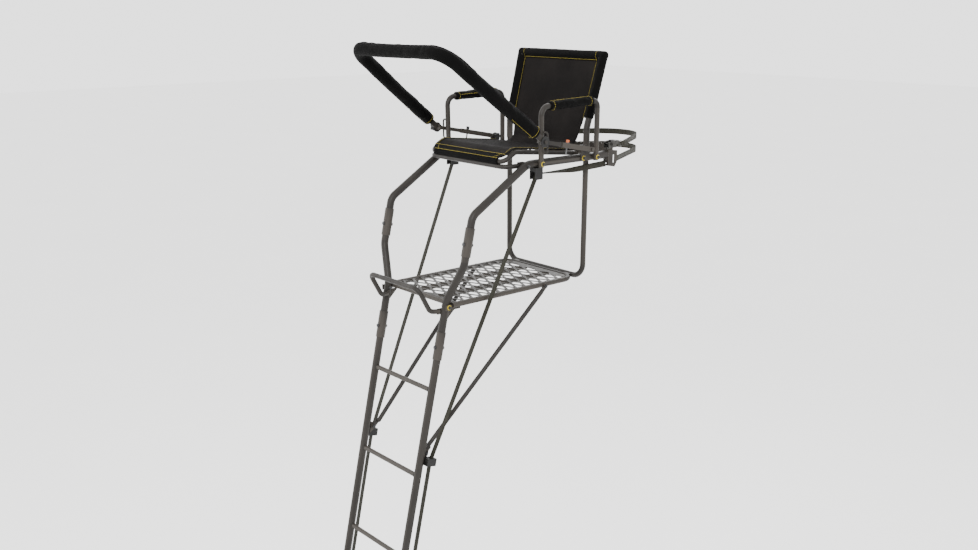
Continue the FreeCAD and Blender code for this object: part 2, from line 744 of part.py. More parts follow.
def rail_path(set_back):
    """The shooting rail's U, which narrows towards its front bar, from a distance ahead of the hub."""
    hub_end = point(RAIL_HUB_X, HUB_Y, HUB_Z)
    corner = point(RAIL_BAR_X, RAIL_BAR_Y, RAIL_BAR_Z)
    start = hub_end + (corner - hub_end).normalize() * set_back
    corners = [start, corner, mirror_point(corner), mirror_point(start)]
    return rounded_wire(corners, [RAIL_CORNER, RAIL_CORNER])


def build_shooting_rail():
    hub = point(0, HUB_Y, HUB_Z)
    path = rail_path(RAIL_PAD_START)
    tube = swept(path, RAIL_TUBE_RADIUS).cut(swept(path, RAIL_TUBE_RADIUS - 1.5))
    tab = hub_tab(hub, (point(0, RAIL_BAR_Y, RAIL_BAR_Z) - hub).normalize())
    frame = fused([tube, tab, mirrored(tab)])
    save("rail_frame", frame)
    pad_path = rail_path(RAIL_PAD_START + 1)
    pad = swept(pad_path, RAIL_PAD_RADIUS).cut(swept(pad_path, RAIL_TUBE_RADIUS + 0.3))
    save("rail_pad", pad)
    disc = Part.makeCylinder(HUB_DISC_RADIUS, HUB_DISC_X1 - HUB_TAB_X1 - 0.2,
                             hub + X_AXIS * (HUB_TAB_X1 + 0.2), X_AXIS)
    disc = disc.makeChamfer(1.2, [disc.Edges[0], disc.Edges[2]])
    disc = disc.cut(rod(hub, hub + X_AXIS * 400, BOLT_HOLE))
    save("tilt_discs", both_sides([disc]))


def hub_tab(hub, along):
    """The rail tube's flattened end, with the pivot hole."""
    end = hub + X_AXIS * HUB_TAB_X0
    thickness = HUB_TAB_X1 - HUB_TAB_X0
    eye = Part.makeCylinder(14, thickness, end, X_AXIS)
    strip = flat_strip(end, end + along * RAIL_PAD_START, 24, thickness)
    return fused([eye, strip]).cut(rod(hub, hub + X_AXIS * 400, BOLT_HOLE))


def knob(centre, direction, radius, length):
    """A five-lobed clamp knob with a blind bore."""
    body = Part.makeCylinder(radius * 0.72, length, centre, direction)
    lobes = []
    for step in range(5):
        angle = math.radians(72 * step)
        offset = point(0, math.cos(angle), math.sin(angle)) * (radius * 0.62)
        lobes.append(Part.makeCylinder(radius * 0.38, length * 0.75, centre + direction * (length * 0.25)
                                       + offset, direction))
    turned = fused([body] + lobes)
    return turned.cut(rod(centre - direction * 1, centre + direction * (length * 0.6), BOLT_HOLE))


def build_knobs():
    hub = point(-HUB_DISC_X1 - 0.4, HUB_Y, HUB_Z)
    save("tilt_knob", knob(hub, X_AXIS * -1, 19, 24))
    inner = point(-BRACKET_X0 + 0.4, PIVOT_Y, PIVOT_Z)
    save("pivot_knob", knob(inner, X_AXIS, 15, 20))


BRACKET_X0 = SEAT_RAIL_X + RAIL_RADIUS + 0.3
BRACKET_THICKNESS = 4.0


def pivot_bracket(inner_head):
    """A plate on the outside of a seat rail that carries the shooting rail's rear pivot."""
    x0 = BRACKET_X0
    plate = box(x0, x0 + BRACKET_THICKNESS, PIVOT_Y - 27, PIVOT_Y + 22, SEAT_RAIL_Z - 12, PIVOT_Z)
    plate = plate.cut(rod(point(x0 - 9, SEAT_HINGE_Y, SEAT_RAIL_Z), point(x0 + 9, SEAT_HINGE_Y, SEAT_RAIL_Z),
                          BOLT_HOLE))
    centre = point(x0, PIVOT_Y, PIVOT_Z)
    crown = Part.makeCylinder(16, BRACKET_THICKNESS, centre, X_AXIS)
    boss = Part.makeCylinder(10, ARM_TUBE_X0 - 0.5 - x0, centre, X_AXIS)
    pin = Part.makeCylinder(BOLT_RADIUS, ARM_TUBE_X1 + 1 - x0 + 12, centre - X_AXIS * 12, X_AXIS)
    head = Part.makeCylinder(7.5, 4, point(ARM_TUBE_X1 + 0.6, PIVOT_Y, PIVOT_Z), X_AXIS)
    parts = [plate, crown, boss, pin, head]
    if inner_head:
        parts.append(hexagon(centre - X_AXIS * 6, X_AXIS, 6.5, 6))
    return fused(parts)


def build_pivot_brackets():
    save("rail_pivots", group([pivot_bracket(True), mirrored(pivot_bracket(False))]))


# --- fasteners ---
def build_frame_bolts():
    """Main frame bolts, and the spacer tubes on the seat hinge bolts."""
    bolts = []
    inner = LADDER_X - RAIL_RADIUS - 0.3
    outer = LADDER_X + RAIL_RADIUS + 7.6
    bolts.append(bolt(point(inner, LADDER_Y, FRONT_BOLT_Z), point(outer, LADDER_Y, FRONT_BOLT_Z)))
    arm_outer = ARM_X + ARM_RADIUS + 2.5
    bolts.append(bolt(point(SEAT_RAIL_X - RAIL_RADIUS - 0.3, ARM_FRONT_Y, SEAT_RAIL_Z),
                      point(arm_outer, ARM_FRONT_Y, SEAT_RAIL_Z)))
    bolts.append(bolt(point(HOOP_X - HOOP_RADIUS - 0.3, ARM_REAR_Y, SEAT_RAIL_Z),
                      point(arm_outer, ARM_REAR_Y, SEAT_RAIL_Z)))
    bolts.append(bolt(point(SUPPORT_X - 5.3, SUPPORT_BOLT_Y, SUPPORT_Z),
                      point(SEAT_RAIL_X + RAIL_RADIUS + 0.8, SUPPORT_BOLT_Y, SUPPORT_Z)))
    hinge_outer = BRACKET_X0 + BRACKET_THICKNESS + 2.5
    bolts.append(bolt(point(SEAT_X - SEAT_RADIUS - 1, SEAT_HINGE_Y, SEAT_RAIL_Z),
                      point(hinge_outer, SEAT_HINGE_Y, SEAT_RAIL_Z)))
    spacer = SEAT_X + 10.4
    bolts.append(washer(point(spacer, SEAT_HINGE_Y, SEAT_RAIL_Z), X_AXIS, BOLT_HOLE, 7.5,
                        SEAT_RAIL_X - RAIL_RADIUS - 0.2 - spacer))
    start, finish = splice_bolt_ends(SOCKET_RADIUS + 0.2)
    bolts.append(bolt(start, finish))
    bolts.append(bolt(point(RIM_X - RIM_RADIUS - 0.2, BRACE_TOP.y, BRACE_TOP.z),
                      BRACE_TOP + X_AXIS * (BRACE_TAB + 0.2)))
    bolts.append(bolt(BRACE_FOOT - X_AXIS * 0.3, BRACE_FOOT + X_AXIS * (BRACE_TAB + 5.6)))
    save("frame_bolts", both_sides(bolts))


def build_washers():
    """The coloured lock washers under the main frame bolts."""
    seats = [point(LADDER_X + RAIL_RADIUS + 5.5, LADDER_Y, FRONT_BOLT_Z),
             point(ARM_X + ARM_RADIUS + 0.3, ARM_FRONT_Y, SEAT_RAIL_Z),
             point(ARM_X + ARM_RADIUS + 0.3, ARM_REAR_Y, SEAT_RAIL_Z),
             point(BRACKET_X0 + BRACKET_THICKNESS + 0.3, SEAT_HINGE_Y, SEAT_RAIL_Z)]
    save("accent_washers", both_sides([washer(seat, X_AXIS, 4.3, 10, 2) for seat in seats]))


# --- tree attachment ---
def build_saddle():
    """Cross tube and toothed V plate that bear on the trunk."""
    reach = SEAT_RAIL_X - RAIL_RADIUS - 0.5
    y = 770.0
    tube = pipe(point(-reach, y, SEAT_RAIL_Z), point(reach, y, SEAT_RAIL_Z), 12, 1.6)
    contact = math.radians(35)
    vertex = TRUNK_Y - TRUNK_RADIUS / math.cos(contact)
    wing_x = 150.0
    wing_y = vertex + wing_x * math.tan(contact)
    thick = 5 / math.cos(contact)
    outline = [point(0, vertex, 500), point(wing_x, wing_y, 500),
               point(wing_x + 4, wing_y - thick, 500), point(0, vertex - thick, 500),
               point(-wing_x - 4, wing_y - thick, 500), point(-wing_x, wing_y, 500)]
    plate = prism(outline, Z_AXIS * 50)
    parts = [tube, plate]
    for x in (-62, 62):
        face = vertex + abs(x) * math.tan(contact) - thick
        parts.append(box(x - 10, x + 10, y + 4, face + 6, 512, 538))
    saddle = fused(parts)
    notches = []
    for side in (-1, 1):
        for step in range(9):
            x = side * (22 + step * 15)
            for z in (500, 550):
                notches.append(rod(point(x, 780, z), point(x, TRUNK_Y, z), 5))
    save("tree_saddle", saddle.cut(group(notches)))


JAW_Y0 = 808.0
JAW_Y1 = 872.0


def build_jaws():
    """Slotted strap plates on the rear ends of the seat rails."""
    x = SEAT_RAIL_X
    plate = prism([point(x - 2.5, JAW_Y0 - 3.7, 478), point(x - 2.5, JAW_Y1 - 14, 468),
                   point(x - 2.5, JAW_Y1, 490), point(x - 2.5, JAW_Y1, 536),
                   point(x - 2.5, JAW_Y0 - 3.7, 545)], X_AXIS * 5)
    lip = box(x - 15, x + 15, JAW_Y0 - 3.7, JAW_Y0 + 0.3, 478, 545)
    jaw = fused([plate, lip])
    jaw = jaw.cut(box(x - 20, x + 20, 846, 857, 486, 520))
    jaw = jaw.cut(box(x - 10.5, x + 10.5, JAW_Y0 - 8, JAW_Y0 + 4, 485, 489.5))
    save("jaw_plates", both_sides([jaw]))


def band(anchor_x, anchor_y, z, width):
    """A webbing band from one side anchor round the back of the trunk to the other."""
    reach = math.hypot(anchor_x, TRUNK_Y - anchor_y)
    bearing = math.atan2(anchor_y - TRUNK_Y, anchor_x)
    faces = []
    for radius in (TRUNK_RADIUS, TRUNK_RADIUS + WEB_THICKNESS):
        touch = bearing + math.acos(TRUNK_RADIUS / reach)
        tangent = point(radius * math.cos(touch), TRUNK_Y + radius * math.sin(touch), z)
        shift = point(math.cos(touch), math.sin(touch), 0) * (radius - TRUNK_RADIUS)
        anchor = point(anchor_x, anchor_y, z) + shift
        faces.append((anchor, tangent, point(0, TRUNK_Y + radius, z)))
    inner, outer = faces
    edges = [Part.LineSegment(inner[0], inner[1]).toShape(),
             Part.Arc(inner[1], inner[2], mirror_point(inner[1])).toShape(),
             Part.LineSegment(mirror_point(inner[1]), mirror_point(inner[0])).toShape(),
             Part.LineSegment(mirror_point(inner[0]), mirror_point(outer[0])).toShape(),
             Part.LineSegment(mirror_point(outer[0]), mirror_point(outer[1])).toShape(),
             Part.Arc(mirror_point(outer[1]), outer[2], outer[1]).toShape(),
             Part.LineSegment(outer[1], outer[0]).toShape(),
             Part.LineSegment(outer[0], inner[0]).toShape()]
    ribbon = Part.Face(Part.Wire(edges)).extrude(Z_AXIS * width)
    ribbon.translate(point(0, 0, -width / 2))
    return ribbon


HOOK_Y = 892.0
HOOK_Z = 562.0
RATCHET_Y = 826.0
RATCHET_Z = 566.0


def build_tree_straps():
    save("trunk_strap", band(SEAT_RAIL_X, JAW_Y1 + 1.5, 503, 25))
    save("ratchet_strap", band(SEAT_RAIL_X, HOOK_Y + 15, HOOK_Z, 25))


def build_ratchet():
    """Ratchet on the left rail end: cheeks, spool, handle and the two strap hooks."""
    x = SEAT_RAIL_X
    y = RATCHET_Y
    z = RATCHET_Z
    cheeks = []
    for side in (-15, 12.5):
        cheek = box(x + side, x + side + 2.5, y - 22, y + 26, z - 12, z + 8)
        hub = Part.makeCylinder(12, 2.5, point(x + side, y, z), X_AXIS)
        cheeks.append(fused([cheek, hub]))
    base = box(x - 15, x + 15, y - 22, y + 26, z - 14.5, z - 12)
    stem = box(x - 2.4, x + 2.4, y - 18, y + 4, 545.2, z - 14)
    frame = fused(cheeks + [base, stem])
    frame = frame.cut(rod(point(x - 30, y, z), point(x + 30, y, z), 5.06))
    frame = frame.cut(rod(point(x - 30, y - 16, z + 1), point(x + 30, y - 16, z + 1), 2.1))
    pawl = rod(point(x - 16, y - 16, z + 1), point(x + 16, y - 16, z + 1), 2.0)
    save("ratchet_frame", group([frame, pawl]))
    spool = rod(point(x - 22, y, z), point(x + 22, y, z), 5.0)
    spool = spool.cut(box(x - 11.5, x + 11.5, y - 10, y + 10, z - 0.9, z + 0.9))
    wheels = []
    for side in (-12, 10):
        wheels.append(ratchet_wheel(x + side, y, z))
    save("ratchet_spool", fused([spool] + wheels))
    save("ratchet_handle", ratchet_handle(x, y, z))
    hooks = []
    for side in (1, -1):
        hooks.append(strap_hook(side * SEAT_RAIL_X))
    save("strap_hooks", group(hooks))
    tail_left = box(x - 9.5, x + 9.5, y + 12, HOOK_Y - 16.2, z - 5, z - 3)
    tail_right = box(-x - 9.5, -x + 9.5, y - 8, HOOK_Y - 16.2, z - 5, z - 3)
    save("strap_tails", group([tail_left, tail_right]))
    anchor = fused([box(-x - 2.4, -x + 2.4, y - 18, y + 4, 545.2, z - 5.5),
                    box(-x - 12, -x + 12, y - 18, y - 8.5, z - 8, z + 2)])
    save("right_strap_anchor", anchor)


def ratchet_wheel(x, y, z):
    """A toothed ratchet wheel."""
    teeth = 9
    outline = []
    for step in range(teeth):
        root = math.radians(360 / teeth * step)
        tip = math.radians(360 / teeth * (step + 0.75))
        outline.append(point(x, y + 8.0 * math.cos(root), z + 8.0 * math.sin(root)))
        outline.append(point(x, y + 10.5 * math.cos(tip), z + 10.5 * math.sin(tip)))
    return prism(outline, X_AXIS * 2)


def ratchet_handle(x, y, z):
    """Folded handle; its side plates turn on the spool outside the frame cheeks."""
    sides = []
    for side in (-18, 15.8):
        plate = box(x + side, x + side + 2.2, y - 4, y + 34, z + 4, z + 13)
        eye = Part.makeCylinder(9, 2.2, point(x + side, y, z), X_AXIS)
        sides.append(fused([plate, eye]))
    grip = rod(point(x - 18, y + 34, z + 10), point(x + 18, y + 34, z + 10), 5)
    bridge = box(x - 18, x + 18, y + 10, y + 34, z + 13.2, z + 15.2)
    handle = fused(sides + [grip, bridge, box(x - 18, x - 15.8, y + 10, y + 34, z + 12, z + 14),
                            box(x + 15.8, x + 18, y + 10, y + 34, z + 12, z + 14)])
    return handle.cut(rod(point(x - 30, y, z), point(x + 30, y, z), 5.06))


def strap_hook(x):
    """A flat S hook joining the short tail to the trunk band."""
    z = HOOK_Z
    ring = Part.makeTorus(11, 2.5, point(x, HOOK_Y, z), X_AXIS)
    bar = rod(point(x - 13, HOOK_Y - 13.5, z), point(x + 13, HOOK_Y - 13.5, z), 2.4)
    lug = box(x - 2.4, x + 2.4, HOOK_Y - 13.5, HOOK_Y - 8, z - 3, z + 3)
    return fused([ring, bar, lug])


# --- lockdown straps ---
GUIDE_DISTANCE = 655.0
GUIDE_X = 213.0
STRAP_REAR = 42.0
CLEAT_DISTANCE = 2760.0
BLOCK_Y = 402.0
STRAP_RUN_Z = 487.0


def strap_block(x):
    """Guide block under a seat rail; the strap turns rearwards through it."""
    half = WEB_BLOCK / 2
    body = box(x - half, x + half, BLOCK_Y - 20, BLOCK_Y + 20, 462, SEAT_RAIL_Z - RAIL_RADIUS - 0.3)
    tunnel = box(x - WEB_TUNNEL / 2, x + WEB_TUNNEL / 2, BLOCK_Y - 30, BLOCK_Y + 30, 450, 494)
    roller = rod(point(x - half, BLOCK_Y + 8, 475), point(x + half, BLOCK_Y + 8, 475), 6)
    return fused([body.cut(tunnel), roller])


def ladder_block(x):
    """Guide block behind a ladder rail, bolted through it."""
    centre = on_ladder(0, GUIDE_DISTANCE)
    body = box(x - WEB_BLOCK / 2, x + WEB_BLOCK / 2, RAIL_RADIUS + 0.3, 62, -16, 16)
    tunnel = box(x - WEB_TUNNEL / 2, x + WEB_TUNNEL / 2, STRAP_REAR - 10, STRAP_REAR + 10, -20, 20)
    block = body.cut(tunnel)
    block.rotate(ORIGIN, X_AXIS, -math.degrees(LEAN))
    block.translate(centre)
    return block


def strap_points():
    guide = on_ladder(GUIDE_X, GUIDE_DISTANCE, STRAP_REAR)
    cleat = on_ladder(GUIDE_X, CLEAT_DISTANCE, STRAP_REAR)
    block = point(SEAT_RAIL_X, BLOCK_Y + 4, STRAP_RUN_Z - 4)
    jaw = point(SEAT_RAIL_X, JAW_Y0 - 5.5, STRAP_RUN_Z)
    return [cleat, guide, block, jaw]


def build_lockdown_straps():
    cleat, guide, block, jaw = strap_points()
    lower = straight_web(cleat, guide)
    upper = straight_web(guide, block)
    rear = straight_web(block, jaw)
    save_pair("lockdown_strap", fused([lower, upper, rear]))
    save("seat_strap_blocks", both_sides([strap_block(SEAT_RAIL_X)]))
    save("ladder_strap_blocks", both_sides([ladder_block(GUIDE_X)]))
    save("strap_cleats", both_sides([strap_cleat()]))


def straight_web(start, finish):
    """A straight run of webbing with its width along X, rounded off at both ends."""
    side = X_AXIS * (WEB_WIDTH / 2)
    normal = (finish - start).cross(X_AXIS).normalize() * (WEB_THICKNESS / 2)
    corners = [start - side - normal, start + side - normal, finish + side - normal,
               finish - side - normal]
    slab = prism(corners, normal * 2)
    ends = []
    for centre in (start, finish):
        ends.append(rod(centre - side, centre + side, WEB_THICKNESS / 2))
    return fused([slab] + ends)


def strap_cleat():
    """Cam buckle behind the lower ladder rail, where the strap's free end is pulled down."""
    x = GUIDE_X
    half = WEB_BLOCK / 2
    body = box(x - half, x + half, RAIL_RADIUS + 0.3, 56, -22, 30)
    tunnel = box(x - WEB_TUNNEL / 2, x + WEB_TUNNEL / 2, STRAP_REAR - 5, 80, -50, 60)
    cam = rod(point(x - half, STRAP_REAR + 9, -10), point(x + half, STRAP_REAR + 9, -10), 5)
    cleat = fused([body.cut(tunnel), cam])
    cleat.rotate(ORIGIN, X_AXIS, -math.degrees(LEAN))
    cleat.translate(on_ladder(0, CLEAT_DISTANCE))
    return cleat


def main():
    os.makedirs("parts", exist_ok=True)
    build_ladder()
    build_feet()
    build_posts()
    build_platform()
    build_braces()
    build_footrest()
    build_seat_rails()
    build_seat_support()
    build_rear_hoop()
    build_backrest()
    build_seat()
    build_armrests()
    build_keepers()
    build_rail_arms()
    build_shooting_rail()
    build_knobs()
    build_pivot_brackets()
    build_frame_bolts()
    build_washers()
    build_saddle()
    build_jaws()
    build_tree_straps()
    build_ratchet()
    build_lockdown_straps()


main()
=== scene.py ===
import json
import math

import bpy
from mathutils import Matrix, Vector, noise


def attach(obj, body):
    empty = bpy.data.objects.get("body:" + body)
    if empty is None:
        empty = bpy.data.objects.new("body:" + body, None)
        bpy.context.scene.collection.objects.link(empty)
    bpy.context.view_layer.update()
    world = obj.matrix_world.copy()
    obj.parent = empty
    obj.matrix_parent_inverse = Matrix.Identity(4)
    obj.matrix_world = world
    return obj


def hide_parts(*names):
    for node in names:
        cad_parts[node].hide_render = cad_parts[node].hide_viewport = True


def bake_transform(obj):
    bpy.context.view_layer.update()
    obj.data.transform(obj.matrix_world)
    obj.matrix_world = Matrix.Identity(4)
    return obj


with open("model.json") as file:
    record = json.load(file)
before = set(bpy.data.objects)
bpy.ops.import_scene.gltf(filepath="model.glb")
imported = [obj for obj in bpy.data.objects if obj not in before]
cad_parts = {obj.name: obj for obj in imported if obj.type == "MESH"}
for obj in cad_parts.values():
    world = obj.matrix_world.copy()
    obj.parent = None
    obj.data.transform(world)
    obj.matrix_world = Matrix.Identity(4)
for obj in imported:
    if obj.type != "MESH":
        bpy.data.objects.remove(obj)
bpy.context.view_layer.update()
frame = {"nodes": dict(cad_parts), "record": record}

# --- the stand's own sizes, in metres, from the CAD part; padding stands a little proud of its solid ---
PLATFORM = Vector((0, -1.06, 3.6))
LEAN = math.radians(13.34)
LADDER_X = 0.2
LADDER_Y = -0.016
RUNG_FIRST = 0.354
RUNG_PITCH = 0.3666
RUNG_COUNT = 9
TRUNK_RADIUS = 0.155

HOOP_X = 0.242
HOOP_Y = 0.712
BACK_KNEE_Z = 0.64
BACK_TOP = Vector((0.25, 0.793, 0.922))
SLEEVE_START = 0.036

SEAT_X = 0.232
SEAT_TUBE = 0.0095
SEAT_REAR = Vector((0, 0.622, 0.5556))
SEAT_CREST = Vector((0, 0.318, 0.5855))
SEAT_BAR = Vector((0, 0.262, 0.5385))

ARM_X = 0.297
ARM_FRONT = Vector((ARM_X, 0.4, 0.746))
ARM_REAR = Vector((ARM_X, 0.715, 0.754))

HUB = Vector((0, 0.378, 0.617))
RAIL_HUB_X = 0.345
RAIL_CORNER = Vector((0.292, -0.07, 0.957))
RAIL_BEND = 0.082
RAIL_PAD_START = 0.053
RAIL_PAD_RADIUS = 0.0278

GUIDE_X = 0.213
GUIDE_DISTANCE = 0.655
CLEAT_DISTANCE = 2.76
STRAP_REAR = 0.042
BLOCK = Vector((0.27, 0.406, 0.483))
JAW_END = Vector((0.27, 0.8025, 0.487))
HOOK = Vector((0.27, 0.892, 0.562))
LOWER_BAND = Vector((0.27, 0.8735, 0.503))
UPPER_BAND = Vector((0.27, 0.907, 0.562))
TRUNK_CENTRE_Y = 1.06

# --- sizes of the cloth, webbing and sewing ---
SLING_THICKNESS = 0.0014
SEAT_THICKNESS = 0.0016
WEBBING_WIDTH = 0.025
SLEEVE_HEM = 0.017
SEAM_INSET = 0.004


# --- mesh helpers ---
def mesh_object(name, verts, faces, uvs=None):
    """A smooth-shaded object from vertices, faces and one UV per face corner."""
    mesh = bpy.data.meshes.new(name)
    mesh.from_pydata([tuple(v) for v in verts], [], faces)
    if uvs:
        layer = mesh.uv_layers.new(name="UVMap")
        for index, uv in enumerate(uvs):
            layer.data[index].uv = uv
    mesh.polygons.foreach_set("use_smooth", [True] * len(mesh.polygons))
    mesh.update()
    obj = bpy.data.objects.new(name, mesh)
    bpy.context.scene.collection.objects.link(obj)
    return obj


def loft(name, rings, closed=True, caps=True):
    """A skin over equal rings of points, with UVs in metres along and across."""
    count = len(rings[0])
    verts = [vertex for ring in rings for vertex in ring]
    across = [0.0]
    for index in range(count if closed else count - 1):
        across.append(across[-1] + (rings[0][(index + 1) % count] - rings[0][index]).length)
    along = [0.0]
    for before, after in zip(rings, rings[1:]):
        centre_step = sum((b - a for a, b in zip(before, after)), Vector()) / count
        along.append(along[-1] + centre_step.length)
    faces = []
    uvs = []
    for row in range(len(rings) - 1):
        for column in range(count if closed else count - 1):
            following = (column + 1) % count
            faces.append((row * count + column, row * count + following,
                          (row + 1) * count + following, (row + 1) * count + column))
            u0, u1 = across[column], across[column + 1]
            v0, v1 = along[row], along[row + 1]
            uvs += [(u0, v0), (u1, v0), (u1, v1), (u0, v1)]
    if closed and caps:
        last = (len(rings) - 1) * count
        faces.append(tuple(reversed(range(count))))
        faces.append(tuple(range(last, last + count)))
        uvs += [(across[i], 0.0) for i in reversed(range(count))]
        uvs += [(across[i], along[-1]) for i in range(count)]
    return mesh_object(name, verts, faces, uvs)


def rounded(points, radii, step=0.006):
    """Points along straight runs that are joined by arcs."""
    result = [points[0]]
    for index in range(1, len(points) - 1):
        corner = points[index]
        back = (points[index - 1] - corner).normalized()
        ahead = (points[index + 1] - corner).normalized()
        half = back.angle(ahead) / 2
        radius = radii[index - 1]
        reach = radius / math.tan(half)
        centre = corner + (back + ahead).normalized() * (radius / math.sin(half))
        start = corner + back * reach - centre
        finish = corner + ahead * reach - centre
        turn = start.angle(finish)
        result += straight(result[-1], centre + start, step)
        steps = max(4, int(turn * radius / step))
        for part in range(1, steps + 1):
            share = part / steps
            blended = start * math.sin((1 - share) * turn) + finish * math.sin(share * turn)
            result.append(centre + blended / math.sin(turn))
    result += straight(result[-1], points[-1], step)
    return result


def straight(start, finish, step):
    """Even points from start, left out, to finish."""
    steps = max(1, int((finish - start).length / step))
    return [start.lerp(finish, (index + 1) / steps) for index in range(steps)]


def tangents(path):
    """The heading at each point of a path."""
    result = []
    for index in range(len(path)):
        before = path[max(index - 1, 0)]
        after = path[min(index + 1, len(path) - 1)]
        result.append((after - before).normalized())
    return result


def lengths(path):
    """Each point's distance along a path."""
    result = [0.0]
    for before, after in zip(path, path[1:]):
        result.append(result[-1] + (after - before).length)
    return result


def square_to(heading, direction):
    """A direction turned square to a heading, and the direction square to both."""
    up = (direction - heading * direction.dot(heading)).normalized()
    return up, heading.cross(up)


def mirror(vector):
    return Vector((-vector.x, vector.y, vector.z))


def on_side(path, sign):
    """A path made for the left, where sign is 1, or its mirror image for the right, where it is -1."""
    return path if sign > 0 else [mirror(point) for point in path]


def side_name(sign):
    return "left" if sign > 0 else "right"


def both_sides(make, name):
    """Makes one piece on each side."""
    for sign in (1, -1):
        make(name + "_" + side_name(sign), sign)


def placed(path):
    """Moves points given from the platform's front edge into the stand's frame."""
    return [point + PLATFORM for point in path]


def on_ladder(x, distance, rear=0.0):
    """A point at a distance down the leaning ladder, and some way behind it."""
    down = Vector((0, -math.sin(LEAN), -math.cos(LEAN)))
    back = Vector((0, math.cos(LEAN), -math.sin(LEAN)))
    return Vector((x, LADDER_Y, 0)) + down * distance + back * rear


def join(name, objects):
    """Joins meshes into one object."""
    with bpy.context.temp_override(active_object=objects[0], object=objects[0],
                                   selected_objects=objects, selected_editable_objects=objects):
        bpy.ops.object.join()
    objects[0].name = name
    objects[0].data.name = name
    return objects[0]


# --- materials ---
class Finish:
    """A node material on one Principled shader."""

    def __init__(self, name, color, roughness, **sockets):
        self.material = bpy.data.materials.new(name)
        self.material.use_nodes = True
        self.tree = self.material.node_tree
        self.shader = self.tree.nodes["Principled BSDF"]
        self.shader.inputs["Base Color"].default_value = (*color, 1)
        self.shader.inputs["Roughness"].default_value = roughness
        for socket, value in sockets.items():
            self.shader.inputs[socket.replace("_", " ")].default_value = value
        self.coords = self.tree.nodes.new("ShaderNodeTexCoord")
        self.heights = []

    def node(self, kind, inputs=(), **settings):
        made = self.tree.nodes.new("ShaderNode" + kind)
        for key, value in settings.items():
            setattr(made, key, value)
        for socket, value in dict(inputs).items():
            if isinstance(value, bpy.types.NodeSocket):
                self.tree.links.new(value, made.inputs[socket])
            else:
                made.inputs[socket].default_value = value
        return made

    def noise(self, scale, detail=4.0, roughness=0.5):
        made = self.node("TexNoise", {"Vector": self.coords.outputs["Object"], "Scale": scale,
                                      "Detail": detail, "Roughness": roughness})
        return made.outputs["Fac"]

    def ramp(self, factor, stops):
        made = self.node("ValToRGB", {"Fac": factor})
        points = made.color_ramp.elements
        while len(points) < len(stops):
            points.new(0.5)
        for element, (position, color) in zip(points, stops):
            element.position = position
            element.color = (*color, 1) if len(color) == 3 else color
        return made.outputs["Color"]

    def curve(self, factor, low, high, start=0.0, end=1.0):
        made = self.node("MapRange", {"Value": factor, "From Min": start, "From Max": end,
                                      "To Min": low, "To Max": high})
        return made.outputs["Result"]

    def math(self, operation, first, second):
        return self.node("Math", {0: first, 1: second}, operation=operation).outputs[0]

    def mix(self, factor, first, second):
        made = self.node("Mix", data_type="RGBA")
        for index, value in ((0, factor), (6, first), (7, second)):
            if isinstance(value, bpy.types.NodeSocket):
                self.tree.links.new(value, made.inputs[index])
            else:
                made.inputs[index].default_value = value
        return made.outputs[2]

    def stripes(self, axis, pitch):
        """A wave from 0 to 1 along one axis of the cloth, repeating at the given pitch in metres."""
        split = self.node("SeparateXYZ", {"Vector": self.coords.outputs["UV"]})
        angle = self.math("MULTIPLY", split.outputs[axis], 2 * math.pi / pitch)
        wave = self.math("SINE", angle, 0.0)
        return self.curve(wave, 0.0, 1.0, -1.0, 1.0)

    def color(self, output):
        self.tree.links.new(output, self.shader.inputs["Base Color"])

    def roughness(self, output):
        self.tree.links.new(output, self.shader.inputs["Roughness"])

    def bump(self, height, distance, strength=1.0):
        made = self.node("Bump", {"Height": height, "Distance": distance, "Strength": strength})
        if self.heights:
            self.tree.links.new(self.heights[-1], made.inputs["Normal"])
        self.heights.append(made.outputs["Normal"])
        self.tree.links.new(made.outputs["Normal"], self.shader.inputs["Normal"])


def powder_coat(name, dark, light, worn):
    """Satin powder coat: orange peel, slow tone drift, small scuffs and rubbed edges."""
    finish = Finish(name, dark, 0.45, Specular_IOR_Level=0.18)
    tone = finish.ramp(finish.noise(9.0, 3.0), [(0.3, dark), (0.75, light)])
    speckle = finish.curve(finish.noise(1400.0, 2.0), 0.0, 1.0, 0.35, 0.7)
    speckled = finish.mix(finish.math("MULTIPLY", speckle, 0.35), tone, (*light, 1))
    scuff = finish.curve(finish.noise(38.0, 9.0, roughness=0.72), 0.0, 1.0, 0.63, 0.72)
    edge = finish.curve(finish.node("NewGeometry").outputs["Pointiness"], 0.0, 1.0, 0.53, 0.6)
    wear = finish.math("MULTIPLY", finish.math("MAXIMUM", scuff, edge), 0.5)
    finish.color(finish.mix(wear, speckled, (*worn, 1)))
    finish.roughness(finish.curve(finish.noise(60.0, 5.0), 0.36, 0.56, 0.3, 0.7))
    finish.bump(finish.noise(620.0, 2.0), 0.00035, 0.5)
    return finish.material


